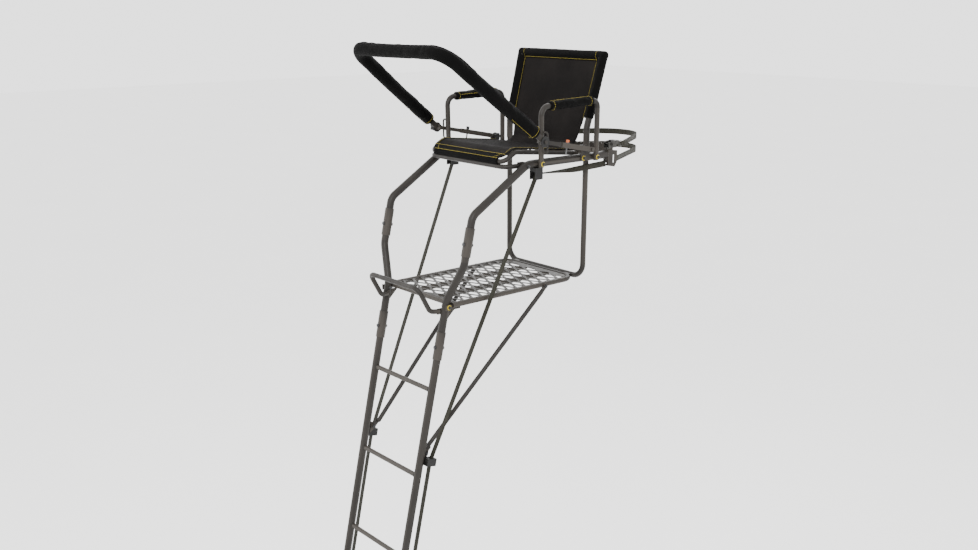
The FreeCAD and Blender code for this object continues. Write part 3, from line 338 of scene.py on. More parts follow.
def woven(name, warp_color, weft_color, gap_color, pitch, roughness, sheen):
    """Plain weave from two crossed waves, with fading, lint and soft creases."""
    finish = Finish(name, warp_color, roughness, Sheen_Weight=sheen, Sheen_Roughness=0.4,
                    Specular_IOR_Level=0.05)
    warp = finish.stripes("X", pitch)
    weft = finish.stripes("Y", pitch)
    over = finish.math("MULTIPLY", finish.stripes("X", pitch * 2), finish.stripes("Y", pitch * 2))
    threads = finish.mix(over, (*warp_color, 1), (*weft_color, 1))
    cover = finish.math("MULTIPLY", warp, weft)
    hole = finish.curve(cover, 1.0, 0.0, 0.02, 0.3)
    weave = finish.mix(hole, threads, (*gap_color, 1))
    fade = finish.curve(finish.noise(6.0, 5.0), 0.0, 0.4, 0.4, 0.75)
    lint = finish.curve(finish.noise(300.0, 6.0, roughness=0.8), 0.0, 0.3, 0.64, 0.76)
    aged = finish.mix(fade, weave, (*[value * 1.7 for value in weft_color], 1))
    finish.color(finish.mix(lint, aged, (0.03, 0.028, 0.025, 1)))
    finish.roughness(finish.curve(finish.noise(80.0, 4.0), roughness - 0.08, roughness + 0.08))
    finish.bump(finish.math("MAXIMUM", warp, weft), pitch * 0.3, 0.7)
    finish.bump(finish.noise(45.0, 3.0), 0.0012, 0.35)
    return finish.material


def webbing_material():
    """Polyester webbing with herringbone ribs, dusty in patches."""
    rib_pitch = 0.0022
    chevron_width = 0.0035
    finish = Finish("webbing", (0.012, 0.0112, 0.007), 0.7, Sheen_Weight=0.04, Sheen_Roughness=0.4,
                    Specular_IOR_Level=0.2)
    split = finish.node("SeparateXYZ", {"Vector": finish.coords.outputs["UV"]})
    chevron = finish.math("PINGPONG", split.outputs["X"], chevron_width)
    slant = finish.math("ADD", split.outputs["Y"], chevron)
    rib = finish.math("SINE", finish.math("MULTIPLY", slant, 2 * math.pi / rib_pitch), 0.0)
    rib = finish.curve(rib, 0.0, 1.0, -1.0, 1.0)
    tone = finish.mix(rib, (0.0075, 0.007, 0.0042, 1), (0.019, 0.0178, 0.0105, 1))
    dust = finish.curve(finish.noise(25.0, 6.0), 0.0, 0.4, 0.5, 0.8)
    finish.color(finish.mix(dust, tone, (0.034, 0.031, 0.02, 1)))
    finish.roughness(finish.curve(finish.noise(90.0, 3.0), 0.62, 0.82))
    finish.bump(rib, 0.0005, 0.8)
    return finish.material


def thread_material():
    """Twisted polyester thread."""
    finish = Finish("stitch_thread", (0.28, 0.215, 0.02), 0.55, Sheen_Weight=0.05, Specular_IOR_Level=0.25)
    twist = finish.noise(1500.0, 3.0)
    finish.color(finish.ramp(twist, [(0.3, (0.17, 0.13, 0.01)), (0.7, (0.36, 0.28, 0.03))]))
    finish.bump(twist, 0.0003, 0.8)
    return finish.material


def moulded_plastic():
    """Black glass-filled plastic with a spark-eroded grain."""
    finish = Finish("moulded_black", (0.004, 0.004, 0.004), 0.5, Specular_IOR_Level=0.25)
    finish.color(finish.ramp(finish.noise(30.0, 5.0), [(0.35, (0.003, 0.003, 0.003)),
                                                       (0.8, (0.009, 0.0086, 0.008))]))
    finish.roughness(finish.curve(finish.noise(120.0, 4.0), 0.4, 0.66))
    finish.bump(finish.noise(1800.0, 2.0), 0.0003, 0.6)
    return finish.material


def plated_steel(name, dark, light, roughness):
    """Zinc plate with a spangle, tool marks and dull patches."""
    finish = Finish(name, dark, roughness, Metallic=0.9)
    cell = finish.node("TexVoronoi", {"Vector": finish.coords.outputs["Object"], "Scale": 420.0})
    patch = finish.noise(70.0, 6.0)
    mottled = finish.math("MULTIPLY", finish.curve(cell.outputs["Distance"], 0.6, 1.0), patch)
    finish.color(finish.ramp(mottled, [(0.2, dark), (0.6, light)]))
    finish.roughness(finish.curve(patch, roughness - 0.12, roughness + 0.18, 0.3, 0.7))
    finish.bump(finish.noise(900.0, 3.0), 0.0002, 0.5)
    return finish.material


def coated(name, color, shade):
    """A bright dipped or printed coat, chipped and dusty."""
    finish = Finish(name, color, 0.45)
    tone = finish.ramp(finish.noise(110.0, 5.0), [(0.3, shade), (0.65, color)])
    chip = finish.curve(finish.noise(420.0, 5.0, roughness=0.7), 0.0, 0.8, 0.62, 0.68)
    finish.color(finish.mix(chip, tone, (0.05, 0.046, 0.04, 1)))
    finish.roughness(finish.curve(finish.noise(200.0, 3.0), 0.35, 0.6))
    finish.bump(finish.noise(800.0, 2.0), 0.0002, 0.5)
    return finish.material


def pin_material():
    """A steel pin whose pull tab is dipped in orange, told apart by the height over the rail arm."""
    finish = Finish("orange_pin", (0.45, 0.1, 0.012), 0.45)
    split = finish.node("SeparateXYZ", {"Vector": finish.coords.outputs["Object"]})
    tab_start = PLATFORM.z + 0.6015
    dipped = finish.math("GREATER_THAN", split.outputs["Z"], tab_start)
    orange = finish.ramp(finish.noise(150.0, 5.0), [(0.3, (0.3, 0.05, 0.006)), (0.7, (0.5, 0.11, 0.014))])
    steel = finish.ramp(finish.noise(300.0, 4.0), [(0.3, (0.03, 0.03, 0.03)), (0.7, (0.07, 0.07, 0.07))])
    finish.color(finish.mix(dipped, steel, orange))
    finish.roughness(finish.curve(finish.noise(200.0, 3.0), 0.35, 0.6))
    finish.bump(finish.noise(800.0, 2.0), 0.0002, 0.5)
    return finish.material


def floor_material():
    """A plain pale floor whose tone drifts very slightly."""
    finish = Finish("studio_floor", (0.93, 0.93, 0.92), 0.85)
    drift = finish.noise(0.6, 3.0)
    finish.color(finish.ramp(drift, [(0.2, (0.92, 0.92, 0.915)), (0.8, (0.94, 0.94, 0.935))]))
    return finish.material


MATERIALS = {
    "frame_paint": powder_coat("frame_powder_coat", (0.011, 0.0096, 0.0084), (0.0195, 0.0168, 0.0145),
                               (0.05, 0.043, 0.036)),
    "mesh_paint": powder_coat("deck_powder_coat", (0.0105, 0.0092, 0.008), (0.018, 0.0157, 0.0137),
                              (0.055, 0.049, 0.043)),
    "sling_mesh": woven("sling_weave", (0.0072, 0.0061, 0.0057), (0.0106, 0.009, 0.0083),
                        (0.0022, 0.002, 0.002), 0.0017, 0.8, 0.012),
    "sleeve_fabric": woven("sleeve_nylon", (0.0014, 0.0013, 0.00125), (0.0024, 0.0022, 0.0021),
                           (0.0007, 0.0007, 0.0007), 0.0009, 0.78, 0.008),
    "webbing": webbing_material(),
    "black_plastic": moulded_plastic(),
    "bolt_steel": plated_steel("dark_zinc", (0.028, 0.028, 0.029), (0.07, 0.07, 0.072), 0.52),
    "accent_washer": coated("accent_washer", (0.46, 0.35, 0.02), (0.3, 0.22, 0.012)),
    "pin_orange": pin_material(),
    "ratchet_zinc": plated_steel("ratchet_zinc", (0.028, 0.027, 0.025), (0.075, 0.073, 0.068), 0.45),
}
THREAD = thread_material()


def finish_piece(obj, slot, body, material=None, replaces=()):
    """Gives a new piece its material, looked up by slot unless one is given, and its body; hides the parts it
    replaces.
    """
    obj.data.materials.clear()
    obj.data.materials.append(material or MATERIALS[slot])
    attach(obj, body)
    if replaces:
        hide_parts(*replaces)
    return obj


def finish_cad_nodes():
    """Gives every CAD node the material of its slot in the record."""
    for part in frame["record"]["subparts"]:
        mesh = frame["nodes"][part["node"]].data
        material = MATERIALS[part["material_slot"]]
        if not mesh.materials:
            mesh.materials.append(material)
        for index in range(len(mesh.materials)):
            mesh.materials[index] = material


# --- stitching ---
STITCH_LENGTH = 0.0052
STITCH_PITCH = 0.0068
STITCH_WIDTH = 0.00085


def stitch_line(path, normal):
    """Separate raised stitches along a line; normal gives the surface's outward direction."""
    verts = []
    faces = []
    distances = lengths(path)
    total = distances[-1]
    position = STITCH_PITCH / 2
    while position < total - STITCH_LENGTH / 2:
        centre, heading = point_at(path, distances, position)
        up = normal(centre).normalized()
        side = heading.cross(up).normalized() * STITCH_WIDTH
        half = heading * (STITCH_LENGTH / 2)
        lift = up * STITCH_WIDTH
        base = len(verts)
        for share, grow, height in ((-1, 0.35, -0.3), (-0.6, 1.0, 0.9), (0.6, 1.0, 0.9), (1, 0.35, -0.3)):
            middle = centre + half * share + lift * height
            verts += [middle + side * grow, middle + lift * 0.7 * grow, middle - side * grow,
                      middle - lift * 0.9 * grow]
        for ring in range(3):
            for corner in range(4):
                following = (corner + 1) % 4
                faces.append((base + ring * 4 + corner, base + ring * 4 + following,
                              base + ring * 4 + 4 + following, base + ring * 4 + 4 + corner))
        faces.append((base + 3, base + 2, base + 1, base))
        faces.append((base + 12, base + 13, base + 14, base + 15))
        position += STITCH_PITCH
    return verts, faces


def point_at(path, distances, position):
    """The point and heading at a distance along a path."""
    for index in range(len(path) - 1):
        if distances[index + 1] >= position:
            span = distances[index + 1] - distances[index]
            share = (position - distances[index]) / max(span, 1e-9)
            heading = (path[index + 1] - path[index]).normalized()
            return path[index].lerp(path[index + 1], share), heading
    return path[-1], (path[-1] - path[-2]).normalized()


def stitching(name, lines, body):
    """One object for several stitch lines, each a (path, normal) pair."""
    verts = []
    faces = []
    for path, normal in lines:
        new_verts, new_faces = stitch_line(path, normal)
        base = len(verts)
        verts += new_verts
        faces += [tuple(index + base for index in face) for face in new_faces]
    return finish_piece(mesh_object(name, verts, faces), "sleeve_fabric", body, THREAD)


# --- padded sleeves on the shooting rail and armrests ---
SWELL_PRESSURE = 1.2
SWELL_CAP = 0.0016
SWELL_ROOM = 0.0012
HEM_WAIST = 0.925
SEAM_FROM_HEM = 0.02
RAIL_SEAM_END = 0.15


def even_girth(_):
    return 1.0


def sleeve_rings(path, outward, radius, bore, girth, sides, seed):
    """Rings of a stuffed sleeve: rounded hemmed ends, slow bulges and cross wrinkles."""
    headings = tangents(path)
    distances = lengths(path)
    total = distances[-1]
    rings = []
    for centre, heading, distance in zip(path, headings, distances):
        up, side = square_to(heading, outward(centre))
        end_distance = min(distance, total - distance)
        hem = 1.0 - 0.1 * math.exp(-((end_distance - SLEEVE_HEM) / 0.004) ** 2)
        shoulder = min(1.0, end_distance / 0.007)
        swell = math.sqrt(max(0.0, 1 - (1 - shoulder) ** 2))
        reach = bore + (radius * girth(centre) - bore) * (0.35 + 0.65 * swell)
        ring = []
        for index in range(sides):
            angle = 2 * math.pi * index / sides
            direction = up * math.cos(angle) + side * math.sin(angle)
            bulge = noise.noise(Vector((distance * 9 + seed, math.cos(angle) * 0.8, math.sin(angle) * 0.8)))
            crease = noise.noise(Vector((distance * 70 + seed, math.cos(angle) * 1.6, math.sin(angle) * 1.6)))
            crease = -abs(crease) * 0.0011 * swell
            seam = -0.0016 * math.exp(-((angle - math.pi * 0.75) / 0.09) ** 2) * swell
            ring.append(centre + direction * (reach * hem + bulge * 0.0012 * swell + crease + seam))
        rings.append(ring)
    return rings


def ring_path(path, outward, distance, radius):
    """A circle of points round a sleeve at one distance along it."""
    centre, heading = point_at(path, lengths(path), distance)
    up, side = square_to(heading, outward(centre))
    sides = 40
    turns = [2 * math.pi * index / sides for index in range(sides + 1)]
    return [centre + (up * math.cos(turn) + side * math.sin(turn)) * radius for turn in turns]


def seam_path(path, outward, angle, radius, start, finish):
    """A line along a sleeve at one angle round it, between two distances along it."""
    distances = lengths(path)
    result = []
    for centre, heading, distance in zip(path, tangents(path), distances):
        if start < distance < finish:
            up, side = square_to(heading, outward(centre))
            result.append(centre + (up * math.cos(angle) + side * math.sin(angle)) * radius)
    return result


def away_from(path):
    """The outward direction at a point near a path: straight away from its nearest point."""
    def direction(point):
        nearest = min(path, key=lambda centre: (centre - point).length)
        return point - nearest
    return direction


def swell(obj, pinned):
    """Blows a sleeve up as cloth, holding the pinned vertices and limiting how far any may move."""
    start = [vertex.co.copy() for vertex in obj.data.vertices]
    group = obj.vertex_groups.new(name="held")
    group.add(pinned, 1.0, "REPLACE")
    cloth = obj.modifiers.new("cloth", "CLOTH")
    settings = cloth.settings
    settings.quality = 6
    settings.mass = 0.25
    settings.tension_stiffness = 25
    settings.compression_stiffness = 25
    settings.bending_stiffness = 0.6
    settings.shrink_min = -0.035
    settings.use_pressure = True
    settings.uniform_pressure_force = SWELL_PRESSURE
    settings.vertex_group_mass = "held"
    settings.effector_weights.gravity = 0
    cloth.collision_settings.use_collision = False
    for step in range(1, 19):
        bpy.context.scene.frame_set(step)
    evaluated = obj.evaluated_get(bpy.context.evaluated_depsgraph_get())
    result = [vertex.co.copy() for vertex in evaluated.data.vertices]
    obj.modifiers.clear()
    obj.vertex_groups.clear()
    for vertex, before, after in zip(obj.data.vertices, start, result):
        move = after - before
        if move.length > SWELL_CAP:
            move *= SWELL_CAP / move.length
        vertex.co = before + move
    obj.data.update()
    bpy.context.scene.frame_set(1)


def smoother(obj):
    subdivision = obj.modifiers.new("smooth", "SUBSURF")
    subdivision.levels = 1
    subdivision.render_levels = 1


def padded_sleeve(name, path, outward, radius, bore, body, node, seed, sides, seam_angle, seams,
                  girth=even_girth):
    """A stuffed sleeve with its hems, seam and stitching; seams are the sewn stretches along it."""
    rings = sleeve_rings(path, outward, radius - SWELL_ROOM, bore, girth, sides, seed)
    sleeve = loft(name, rings, caps=False)
    count = len(rings)
    held = []
    for row in list(range(0, 4)) + list(range(count - 4, count)):
        held += range(row * sides, (row + 1) * sides)
    seam_column = round(sides * 0.375)
    held += [row * sides + seam_column for row in range(count)]
    swell(sleeve, held)
    smoother(sleeve)
    finish_piece(sleeve, "sleeve_fabric", body, replaces=[node])
    total = lengths(path)[-1]
    away = away_from(path)
    lines = []
    for distance in (SLEEVE_HEM, total - SLEEVE_HEM):
        lines.append((ring_path(path, outward, distance, radius * HEM_WAIST), away))
    for start, finish in seams:
        lines.append((seam_path(path, outward, seam_angle, radius - 0.0008, start, finish), away))
    stitching(name + "_stitching", lines, body)


def rail_underside(_):
    """Straight out from under the tilted rail; its seam's angle is measured from here."""
    run = RAIL_CORNER - HUB
    return Vector((0, -run.z, run.y)).normalized()


def rail_girth(centre):
    """The rail's padding is a little thinner along its front bar than on its arms."""
    return 0.93 + 0.07 * min(1.0, abs(centre.x) / RAIL_CORNER.x)


def make_rail_sleeve():
    hub_end = Vector((RAIL_HUB_X, HUB.y, HUB.z))
    start = hub_end + (RAIL_CORNER - hub_end).normalized() * RAIL_PAD_START
    points = [start, RAIL_CORNER, mirror(RAIL_CORNER), mirror(start)]
    path = placed(rounded(points, [RAIL_BEND, RAIL_BEND]))
    total = lengths(path)[-1]
    padded_sleeve("rail_sleeve", path, rail_underside, RAIL_PAD_RADIUS, 0.0118, "shooting_rail", "rail_pad",
                  3.0, 40, 0.42, [(SEAM_FROM_HEM, RAIL_SEAM_END),
                                  (total - RAIL_SEAM_END, total - SEAM_FROM_HEM)], rail_girth)


def make_arm_sleeve(name, sign):
    """The padded sleeve on one armrest, sewn along the top on the left and the inner side on the right."""
    along = (ARM_REAR - ARM_FRONT).normalized()
    start = ARM_FRONT + along * 0.041
    finish = ARM_REAR - along * 0.033
    path = on_side(placed([start] + straight(start, finish, 0.006)), sign)
    total = lengths(path)[-1]
    node = "arm_pad_" + side_name(sign)
    seam_angle = 0.12 if sign > 0 else 1.25

    def outward(_):
        return Vector((0, 0, 1))

    padded_sleeve(name, path, outward, 0.0192, 0.0114, "stand", node, 11.0 + sign, 32, seam_angle,
                  [(SEAM_FROM_HEM, total - SEAM_FROM_HEM)])


# --- slings ---
def sling_normal(_):
    """Outward from the front of the leaning backrest."""
    return Vector((0, -1, 0.27))


def back_line():
    """The backrest tube's knee, its heading above the knee, and its length there."""
    low = Vector((HOOP_X, HOOP_Y, BACK_KNEE_Z))
    along = (BACK_TOP - low).normalized()
    return low, along, (BACK_TOP - low).length


def back_point(across, height, depth):
    """A point on the backrest: share across, metres up from the knee, metres behind the tube plane."""
    low, along, total = back_line()
    rear = Vector((0, along.z, -along.y)).normalized()
    half = HOOP_X + (BACK_TOP.x - HOOP_X) * height / total
    centre = Vector((0, low.y, low.z)) + Vector((0, along.y, along.z)) * height
    return centre + Vector((half * across, 0, 0)) + rear * depth


SLEEVE_RADIUS = 0.0178
SLEEVE_REACH = 0.033
TOP_REACH = 0.024
SLEEVE_OVERRUN = 0.0145
SLEEVE_STITCH_LIFT = 0.0012


def make_backrest_panel():
    """The stretched back panel, hollowed a little by use, with its narrowing tail."""
    total = back_line()[2]
    top = total - TOP_REACH + SEAM_INSET
    bottom = -0.07
    rows = 54
    columns = 48
    inner = 1 - (SLEEVE_REACH - SEAM_INSET) / HOOP_X
    front = []
    for row in range(rows + 1):
        height = bottom + (top - bottom) * row / rows
        taper = min(1.0, max(0.0, (height - bottom) / (SLEEVE_START - bottom)))
        half = 0.8 + (inner - 0.8) * taper ** 0.7
        line = []
        for column in range(columns + 1):
            share = 2 * column / columns - 1
            hollow = 0.0065 * math.cos(share * math.pi / 2) * math.sin(math.pi * min(1, max(0, row / rows)))
            ripple = 0.0009 * noise.noise(Vector((share * 5, height * 9, 0.3)))
            pull = 0.0008 * math.sin(height * 120) * max(0.0, abs(share) - 0.82) / 0.18
            line.append(back_point(share * half, height, hollow + ripple + pull))
        front.append(line)
    sheet = loft("backrest_panel", [placed(line) for line in front], closed=False)
    thicken(sheet, SLING_THICKNESS)
    finish_piece(sheet, "sling_mesh", "stand", replaces=["backrest_sling"])


def thicken(obj, thickness):
    solid = obj.modifiers.new("thickness", "SOLIDIFY")
    solid.thickness = thickness
    solid.offset = 0.0


def teardrop(radius, reach, sides=28):
    """A sleeve's section: round over the tube, drawn to a flat seam on the inboard side."""
    touch = math.acos(radius / reach)
    section = []
    for index in range(sides + 1):
        angle = touch + (2 * math.pi - 2 * touch) * index / sides
        section.append((radius * math.cos(angle), radius * math.sin(angle)))
    start = section[0]
    finish = section[-1]
    flat = 0.0011
    closing = []
    for share in (0.25, 0.5, 0.75, 0.93):
        closing.append((finish[0] + (reach - finish[0]) * share, finish[1] + (-flat - finish[1]) * share))
    closing.append((reach, -flat))
    closing.append((reach, flat))
    for share in (0.93, 0.75, 0.5, 0.25):
        closing.append((start[0] + (reach - start[0]) * share, start[1] + (flat - start[1]) * share))
    return section + closing


def sleeve_face(inboard, reach):
    """How far a sleeve stands in front of its tube's plane, at a distance inboard of the tube."""
    touch = SLEEVE_RADIUS * SLEEVE_RADIUS / reach
    if inboard < touch:
        return math.sqrt(max(0.0, SLEEVE_RADIUS ** 2 - inboard ** 2))
    height = math.sqrt(SLEEVE_RADIUS ** 2 - touch ** 2)
    return height * max(0.0, reach - inboard) / (reach - touch)


def sleeve_run(name, path, inboard, reach, seed):
    """A hemmed fabric sleeve sewn round a tube, from its section and the tube's path."""
    section = teardrop(SLEEVE_RADIUS, reach)
    headings = tangents(path)
    distances = lengths(path)
    total = distances[-1]
    rings = []
    for centre, heading, distance in zip(path, headings, distances):
        a = (inboard - heading * inboard.dot(heading)).normalized()
        b = heading.cross(a).normalized()
        end_distance = min(distance, total - distance)
        closing = 1.0 - 0.12 * math.exp(-(end_distance / 0.005) ** 2)
        ring = []
        for x, y in section:
            crease = noise.noise(Vector((distance * 55 + seed, x * 60, y * 60))) * 0.0007
            bulge = noise.noise(Vector((distance * 11 + seed, x * 30, y * 30))) * 0.001
            scale = closing + (crease + bulge) / 0.018
            ring.append(centre + a * x * (scale if x < 0.015 else 1.0) + b * y * scale)
        rings.append(ring)
    sleeve = loft(name, rings)
    smoother(sleeve)
    finish_piece(sleeve, "sleeve_fabric", "stand")


def make_backrest_sleeves():
    """Black sleeves round the backrest's side and top tubes, which overlap at the corners."""
    _, along, total = back_line()
    top = total + SLEEVE_OVERRUN
    lines = []
    for sign in (1, -1):
        path = placed([back_point(sign, SLEEVE_START + (top - SLEEVE_START) * step / 60, 0)
                       for step in range(61)])
        inboard = Vector((-sign, 0, 0))
        sleeve_run("back_side_sleeve_" + side_name(sign), path, inboard, SLEEVE_REACH, 20.0 + sign)
        lines.append((side_stitches(sign, top), sling_normal))
    edge = (BACK_TOP.x + SLEEVE_OVERRUN) / BACK_TOP.x
    top_path = placed([back_point(edge * (1 - 2 * step / 70), total, 0) for step in range(71)])
    down = Vector((0, -along.y, -along.z))
    sleeve_run("back_top_sleeve", top_path, down, TOP_REACH, 31.0)
    seam_inboard = TOP_REACH - SEAM_INSET
    depth = -sleeve_face(seam_inboard, TOP_REACH) - SLEEVE_STITCH_LIFT
    inner = 1 - (SLEEVE_REACH - SEAM_INSET) / BACK_TOP.x
    top_line = placed([back_point(inner * (1 - 2 * step / 70), total - seam_inboard, depth)
                       for step in range(71)])
    lines.append((top_line, sling_normal))
    stitching("backrest_stitching", lines, "stand")


def side_stitches(sign, top):
    """A side sleeve's stitch line, which climbs over the top sleeve at its upper end."""
    total = back_line()[2]
    inboard = SLEEVE_REACH - SEAM_INSET
    share = sign * (1 - inboard / HOOP_X)
    side_face = sleeve_face(inboard, SLEEVE_REACH)
    points = []
    for step in range(121):
        height = SLEEVE_START + (top - SLEEVE_START) * step / 120
        below = total - height
        over = sleeve_face(below, TOP_REACH) if below < TOP_REACH else 0.0
        points.append(back_point(share, height, -max(side_face, over) - SLEEVE_STITCH_LIFT))
    return placed(points)


def seat_profile():
    """The seat cloth's side line: up from the hinge end, over the crest and round the front bar."""
    wrap = SEAT_TUBE + 0.0022
    before_crest = SEAT_REAR.lerp(SEAT_CREST, 0.89)
    line = [SEAT_REAR] + straight(SEAT_REAR, before_crest, 0.008)
    crest = rounded([before_crest, SEAT_CREST, SEAT_BAR + Vector((0, -0.004, 0.014))], [0.05])
    line += crest[1:]
    for step in range(1, 15):
        angle = math.radians(115 + step * 14)
        line.append(SEAT_BAR + Vector((0, math.cos(angle), math.sin(angle))) * wrap)
    return line


SEAT_WRAP = 0.04
SEAT_CORNER = 0.038
SEAT_NARROWING = 0.026


def seat_half(distance, total):
    """Half the cloth's width: on the side tubes, then round their bends to the front bar."""
    to_bar = max(0.0, total - SEAT_WRAP - distance)
    into_bend = max(0.0, SEAT_CORNER - to_bar)
    inward = SEAT_CORNER - math.sqrt(SEAT_CORNER ** 2 - into_bend ** 2)
    return SEAT_X - 0.002 - min(SEAT_NARROWING, inward)


def make_seat_cloth():
    """Mesh cloth stretched over the seat tubes and turned under the front bar."""
    line = seat_profile()
    distances = lengths(line)
    total = distances[-1]
    columns = 46
    rings = []
    for point, distance in zip(line, distances):
        spread = math.sin(math.pi * min(1.0, distance / (total * 0.8)))
        half = seat_half(distance, total)
        row = []
        for column in range(columns + 1):
            share = 2 * column / columns - 1
            sag = 0.009 * max(0.0, math.cos(share * math.pi / 2 * 1.04)) * max(0.0, spread)
            ripple = 0.0008 * noise.noise(Vector((share * 4, distance * 12, 5.0)))
            row.append(point + Vector((half * share, 0, ripple - sag)))
        rings.append(placed(row))
    sheet = loft("seat_cloth", rings, closed=False)
    thicken(sheet, SEAT_THICKNESS)
    finish_piece(sheet, "sling_mesh", "seat", replaces=["seat_sling"])


BINDING_LIFT = 0.0017
SEAT_STITCH_LIFT = 0.0034


def seat_strip(line, edges, start, finish, columns):
    """A band of cloth laid on the seat between two distances; edges gives its sides from the half width."""
    distances = lengths(line)
    total = distances[-1]
    rows = []
    steps = max(4, int((finish - start) / 0.004))
    for step in range(steps + 1):
        distance = start + (finish - start) * step / steps
        point, heading = point_at(line, distances, distance)
        x0, x1 = edges(seat_half(distance, total))
        face = point + outward_of(heading) * BINDING_LIFT
        row = [face + Vector((x0 + (x1 - x0) * column / columns, 0, 0)) for column in range(columns + 1)]
        rows.append(placed(row))
    return rows


def seat_line(line, inset, start, finish):
    """A stitch line down the seat, at an inset from the cloth's left edge."""
    distances = lengths(line)
    total = distances[-1]
    points = []
    for step in range(61):
        distance = start + (finish - start) * step / 60
        point, heading = point_at(line, distances, distance)
        face = point + outward_of(heading) * SEAT_STITCH_LIFT
        points.append(face + Vector((seat_half(distance, total) - inset, 0, 0)))
    return placed(points)


def seat_outward(point):
    """Outward from the middle of the seat's rolled front."""
    middle = PLATFORM + Vector((point.x, 0.34, 0.49))
    return point - middle


SEAT_BAND = 0.07
SEAT_SIDE_BAND = 0.016
SEAT_HEM = 0.041


def make_seat_borders():
    """Black binding along the seat's front and sides, with its stitch lines."""
    line = seat_profile()
    distances = lengths(line)
    total = distances[-1]
    band_start = total - SEAT_BAND
    front_rows = seat_strip(line, lambda half: (-half, half), band_start, total - 0.004, 40)
    front = loft("seat_front_binding", front_rows, closed=False)
    thicken(front, SLING_THICKNESS)
    finish_piece(front, "sleeve_fabric", "seat")
    lines = []
    for sign in (1, -1):
        side_rows = seat_strip(line, lambda half: (sign * (half - SEAT_SIDE_BAND), sign * half), 0.004,
                               band_start, 6)
        strip = loft("seat_side_binding_" + side_name(sign), side_rows, closed=False)
        thicken(strip, SLING_THICKNESS)
        finish_piece(strip, "sleeve_fabric", "seat")
        for inset, start, finish in ((SEAT_SIDE_BAND - 0.002, 0.01, band_start),
                                     (0.03, band_start, total - SEAT_HEM)):
            lines.append((on_side(seat_line(line, inset, start, finish), sign), seat_outward))
    for distance in (band_start + SEAM_INSET, total - SEAT_HEM):
        point, heading = point_at(line, distances, distance)
        half = seat_half(distance, total) * 0.985
        face = point + outward_of(heading) * SEAT_STITCH_LIFT
        across = [face + Vector((half * (1 - 2 * step / 60), 0, 0)) for step in range(61)]
        lines.append((placed(across), seat_outward))
    stitching("seat_stitching", lines, "seat")


def outward_of(heading):
    """The seat surface's outward direction for a line that runs from its rear to its front."""
    return Vector((0, heading.z, -heading.y))


def make_sling_tongue():
    """The cloth that joins the back panel's tail to the rear of the seat."""
    top = back_point(0, -0.066, 0)
    end = SEAT_REAR + Vector((0, 0.002, 0.001))
    top_half = 0.192
    end_half = 0.2
    droop = 0.014
    rows = []
    steps = 26
    columns = 32
    for step in range(steps + 1):
        share = step / steps
        centre = top.lerp(end, share)
        centre.z -= droop * math.sin(math.pi * share)
        half = top_half + (end_half - top_half) * share
        row = []
        for column in range(columns + 1):
            across = 2 * column / columns - 1
            ripple = 0.0015 * noise.noise(Vector((across * 5, share * 4, 9.0)))
            row.append(centre + Vector((half * across, 0, ripple)))
        rows.append(placed(row))
    sheet = loft("sling_tongue", rows, closed=False)
    thicken(sheet, SLING_THICKNESS)
    sheet.data.materials.append(MATERIALS["sling_mesh"])
    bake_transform(sheet)


# --- webbing ---
def no_twist(_):
    return 0.0


def ribbon(name, path, width_direction, width, thickness, body, replaces=(), seed=0.0, twist=no_twist):
    """Flat webbing along a path, its edges rounded and its surface slightly wavy."""
    section = []
    for across, up in ((-0.5, -0.2), (-0.47, -0.5), (-0.25, -0.5), (0.0, -0.5), (0.25, -0.5), (0.47, -0.5),
                       (0.5, -0.2), (0.5, 0.2), (0.47, 0.5), (0.25, 0.5), (0.0, 0.5), (-0.25, 0.5),
                       (-0.47, 0.5), (-0.5, 0.2)):
        section.append((across * width, up * thickness))
    rings = []
    for centre, heading, distance in zip(path, tangents(path), lengths(path)):
        flat, upright = square_to(heading, width_direction)
        turn = twist(centre)
        side = flat * math.cos(turn) + upright * math.sin(turn)
        normal = heading.cross(side)
        wave = noise.noise(Vector((distance * 3 + seed, 1.0, 1.0))) * 0.0008
        rings.append([centre + side * across + normal * (up + wave) for across, up in section])
    finish_piece(loft(name, rings), "webbing", body, replaces=replaces)


def make_lockdown_strap(name, sign):
    """Webbing from the strap plate, under the seat rail, down to the ladder and to its cleat."""
    cleat = on_ladder(GUIDE_X, CLEAT_DISTANCE, STRAP_REAR)
    guide = on_ladder(GUIDE_X, GUIDE_DISTANCE, STRAP_REAR)
    tail = on_ladder(GUIDE_X, CLEAT_DISTANCE + 0.24, STRAP_REAR + 0.004)
    middle = BLOCK.lerp(JAW_END, 0.5) - Vector((0, 0, 0.006))
    route = rounded([tail, cleat, guide, BLOCK, middle, JAW_END], [0.3, 0.05, 0.016, 1.2], 0.012)
    path = on_side(placed(route), sign)
    node = "lockdown_strap_" + side_name(sign)
    block = BLOCK + PLATFORM
    span = JAW_END.y - BLOCK.y

    def upright_at_jaw(centre):
        """The strap turns on edge between the block and the strap plate's upright slot."""
        if centre.z < block.z - 0.02:
            return 0.0
        share = min(1.0, max(0.0, (centre.y - block.y - 0.02) / (span - 0.06)))
        return sign * math.radians(80) * share * share * (3 - 2 * share)

    ribbon(name, path, Vector((1, 0, 0)), WEBBING_WIDTH, 0.0019, "stand", [node], sign, upright_at_jaw)


def trunk_band_path(anchor):
    """Half of a band: from the anchor on the left, along a tangent and round the back of the trunk."""
    centre = Vector((0, TRUNK_CENTRE_Y, anchor.z))
    reach = (anchor - centre).length
    bearing = math.atan2(anchor.y - centre.y, anchor.x)
    radius = TRUNK_RADIUS + 0.001
    touch = bearing + math.acos(radius / reach)
    half = []
    steps = 40
    for step in range(steps + 1):
        angle = touch + (math.pi / 2 - touch) * step / steps
        half.append(centre + Vector((math.cos(angle), math.sin(angle), 0)) * radius)
    lead = [anchor] + straight(anchor, half[0], 0.01)
    return lead + half[1:]


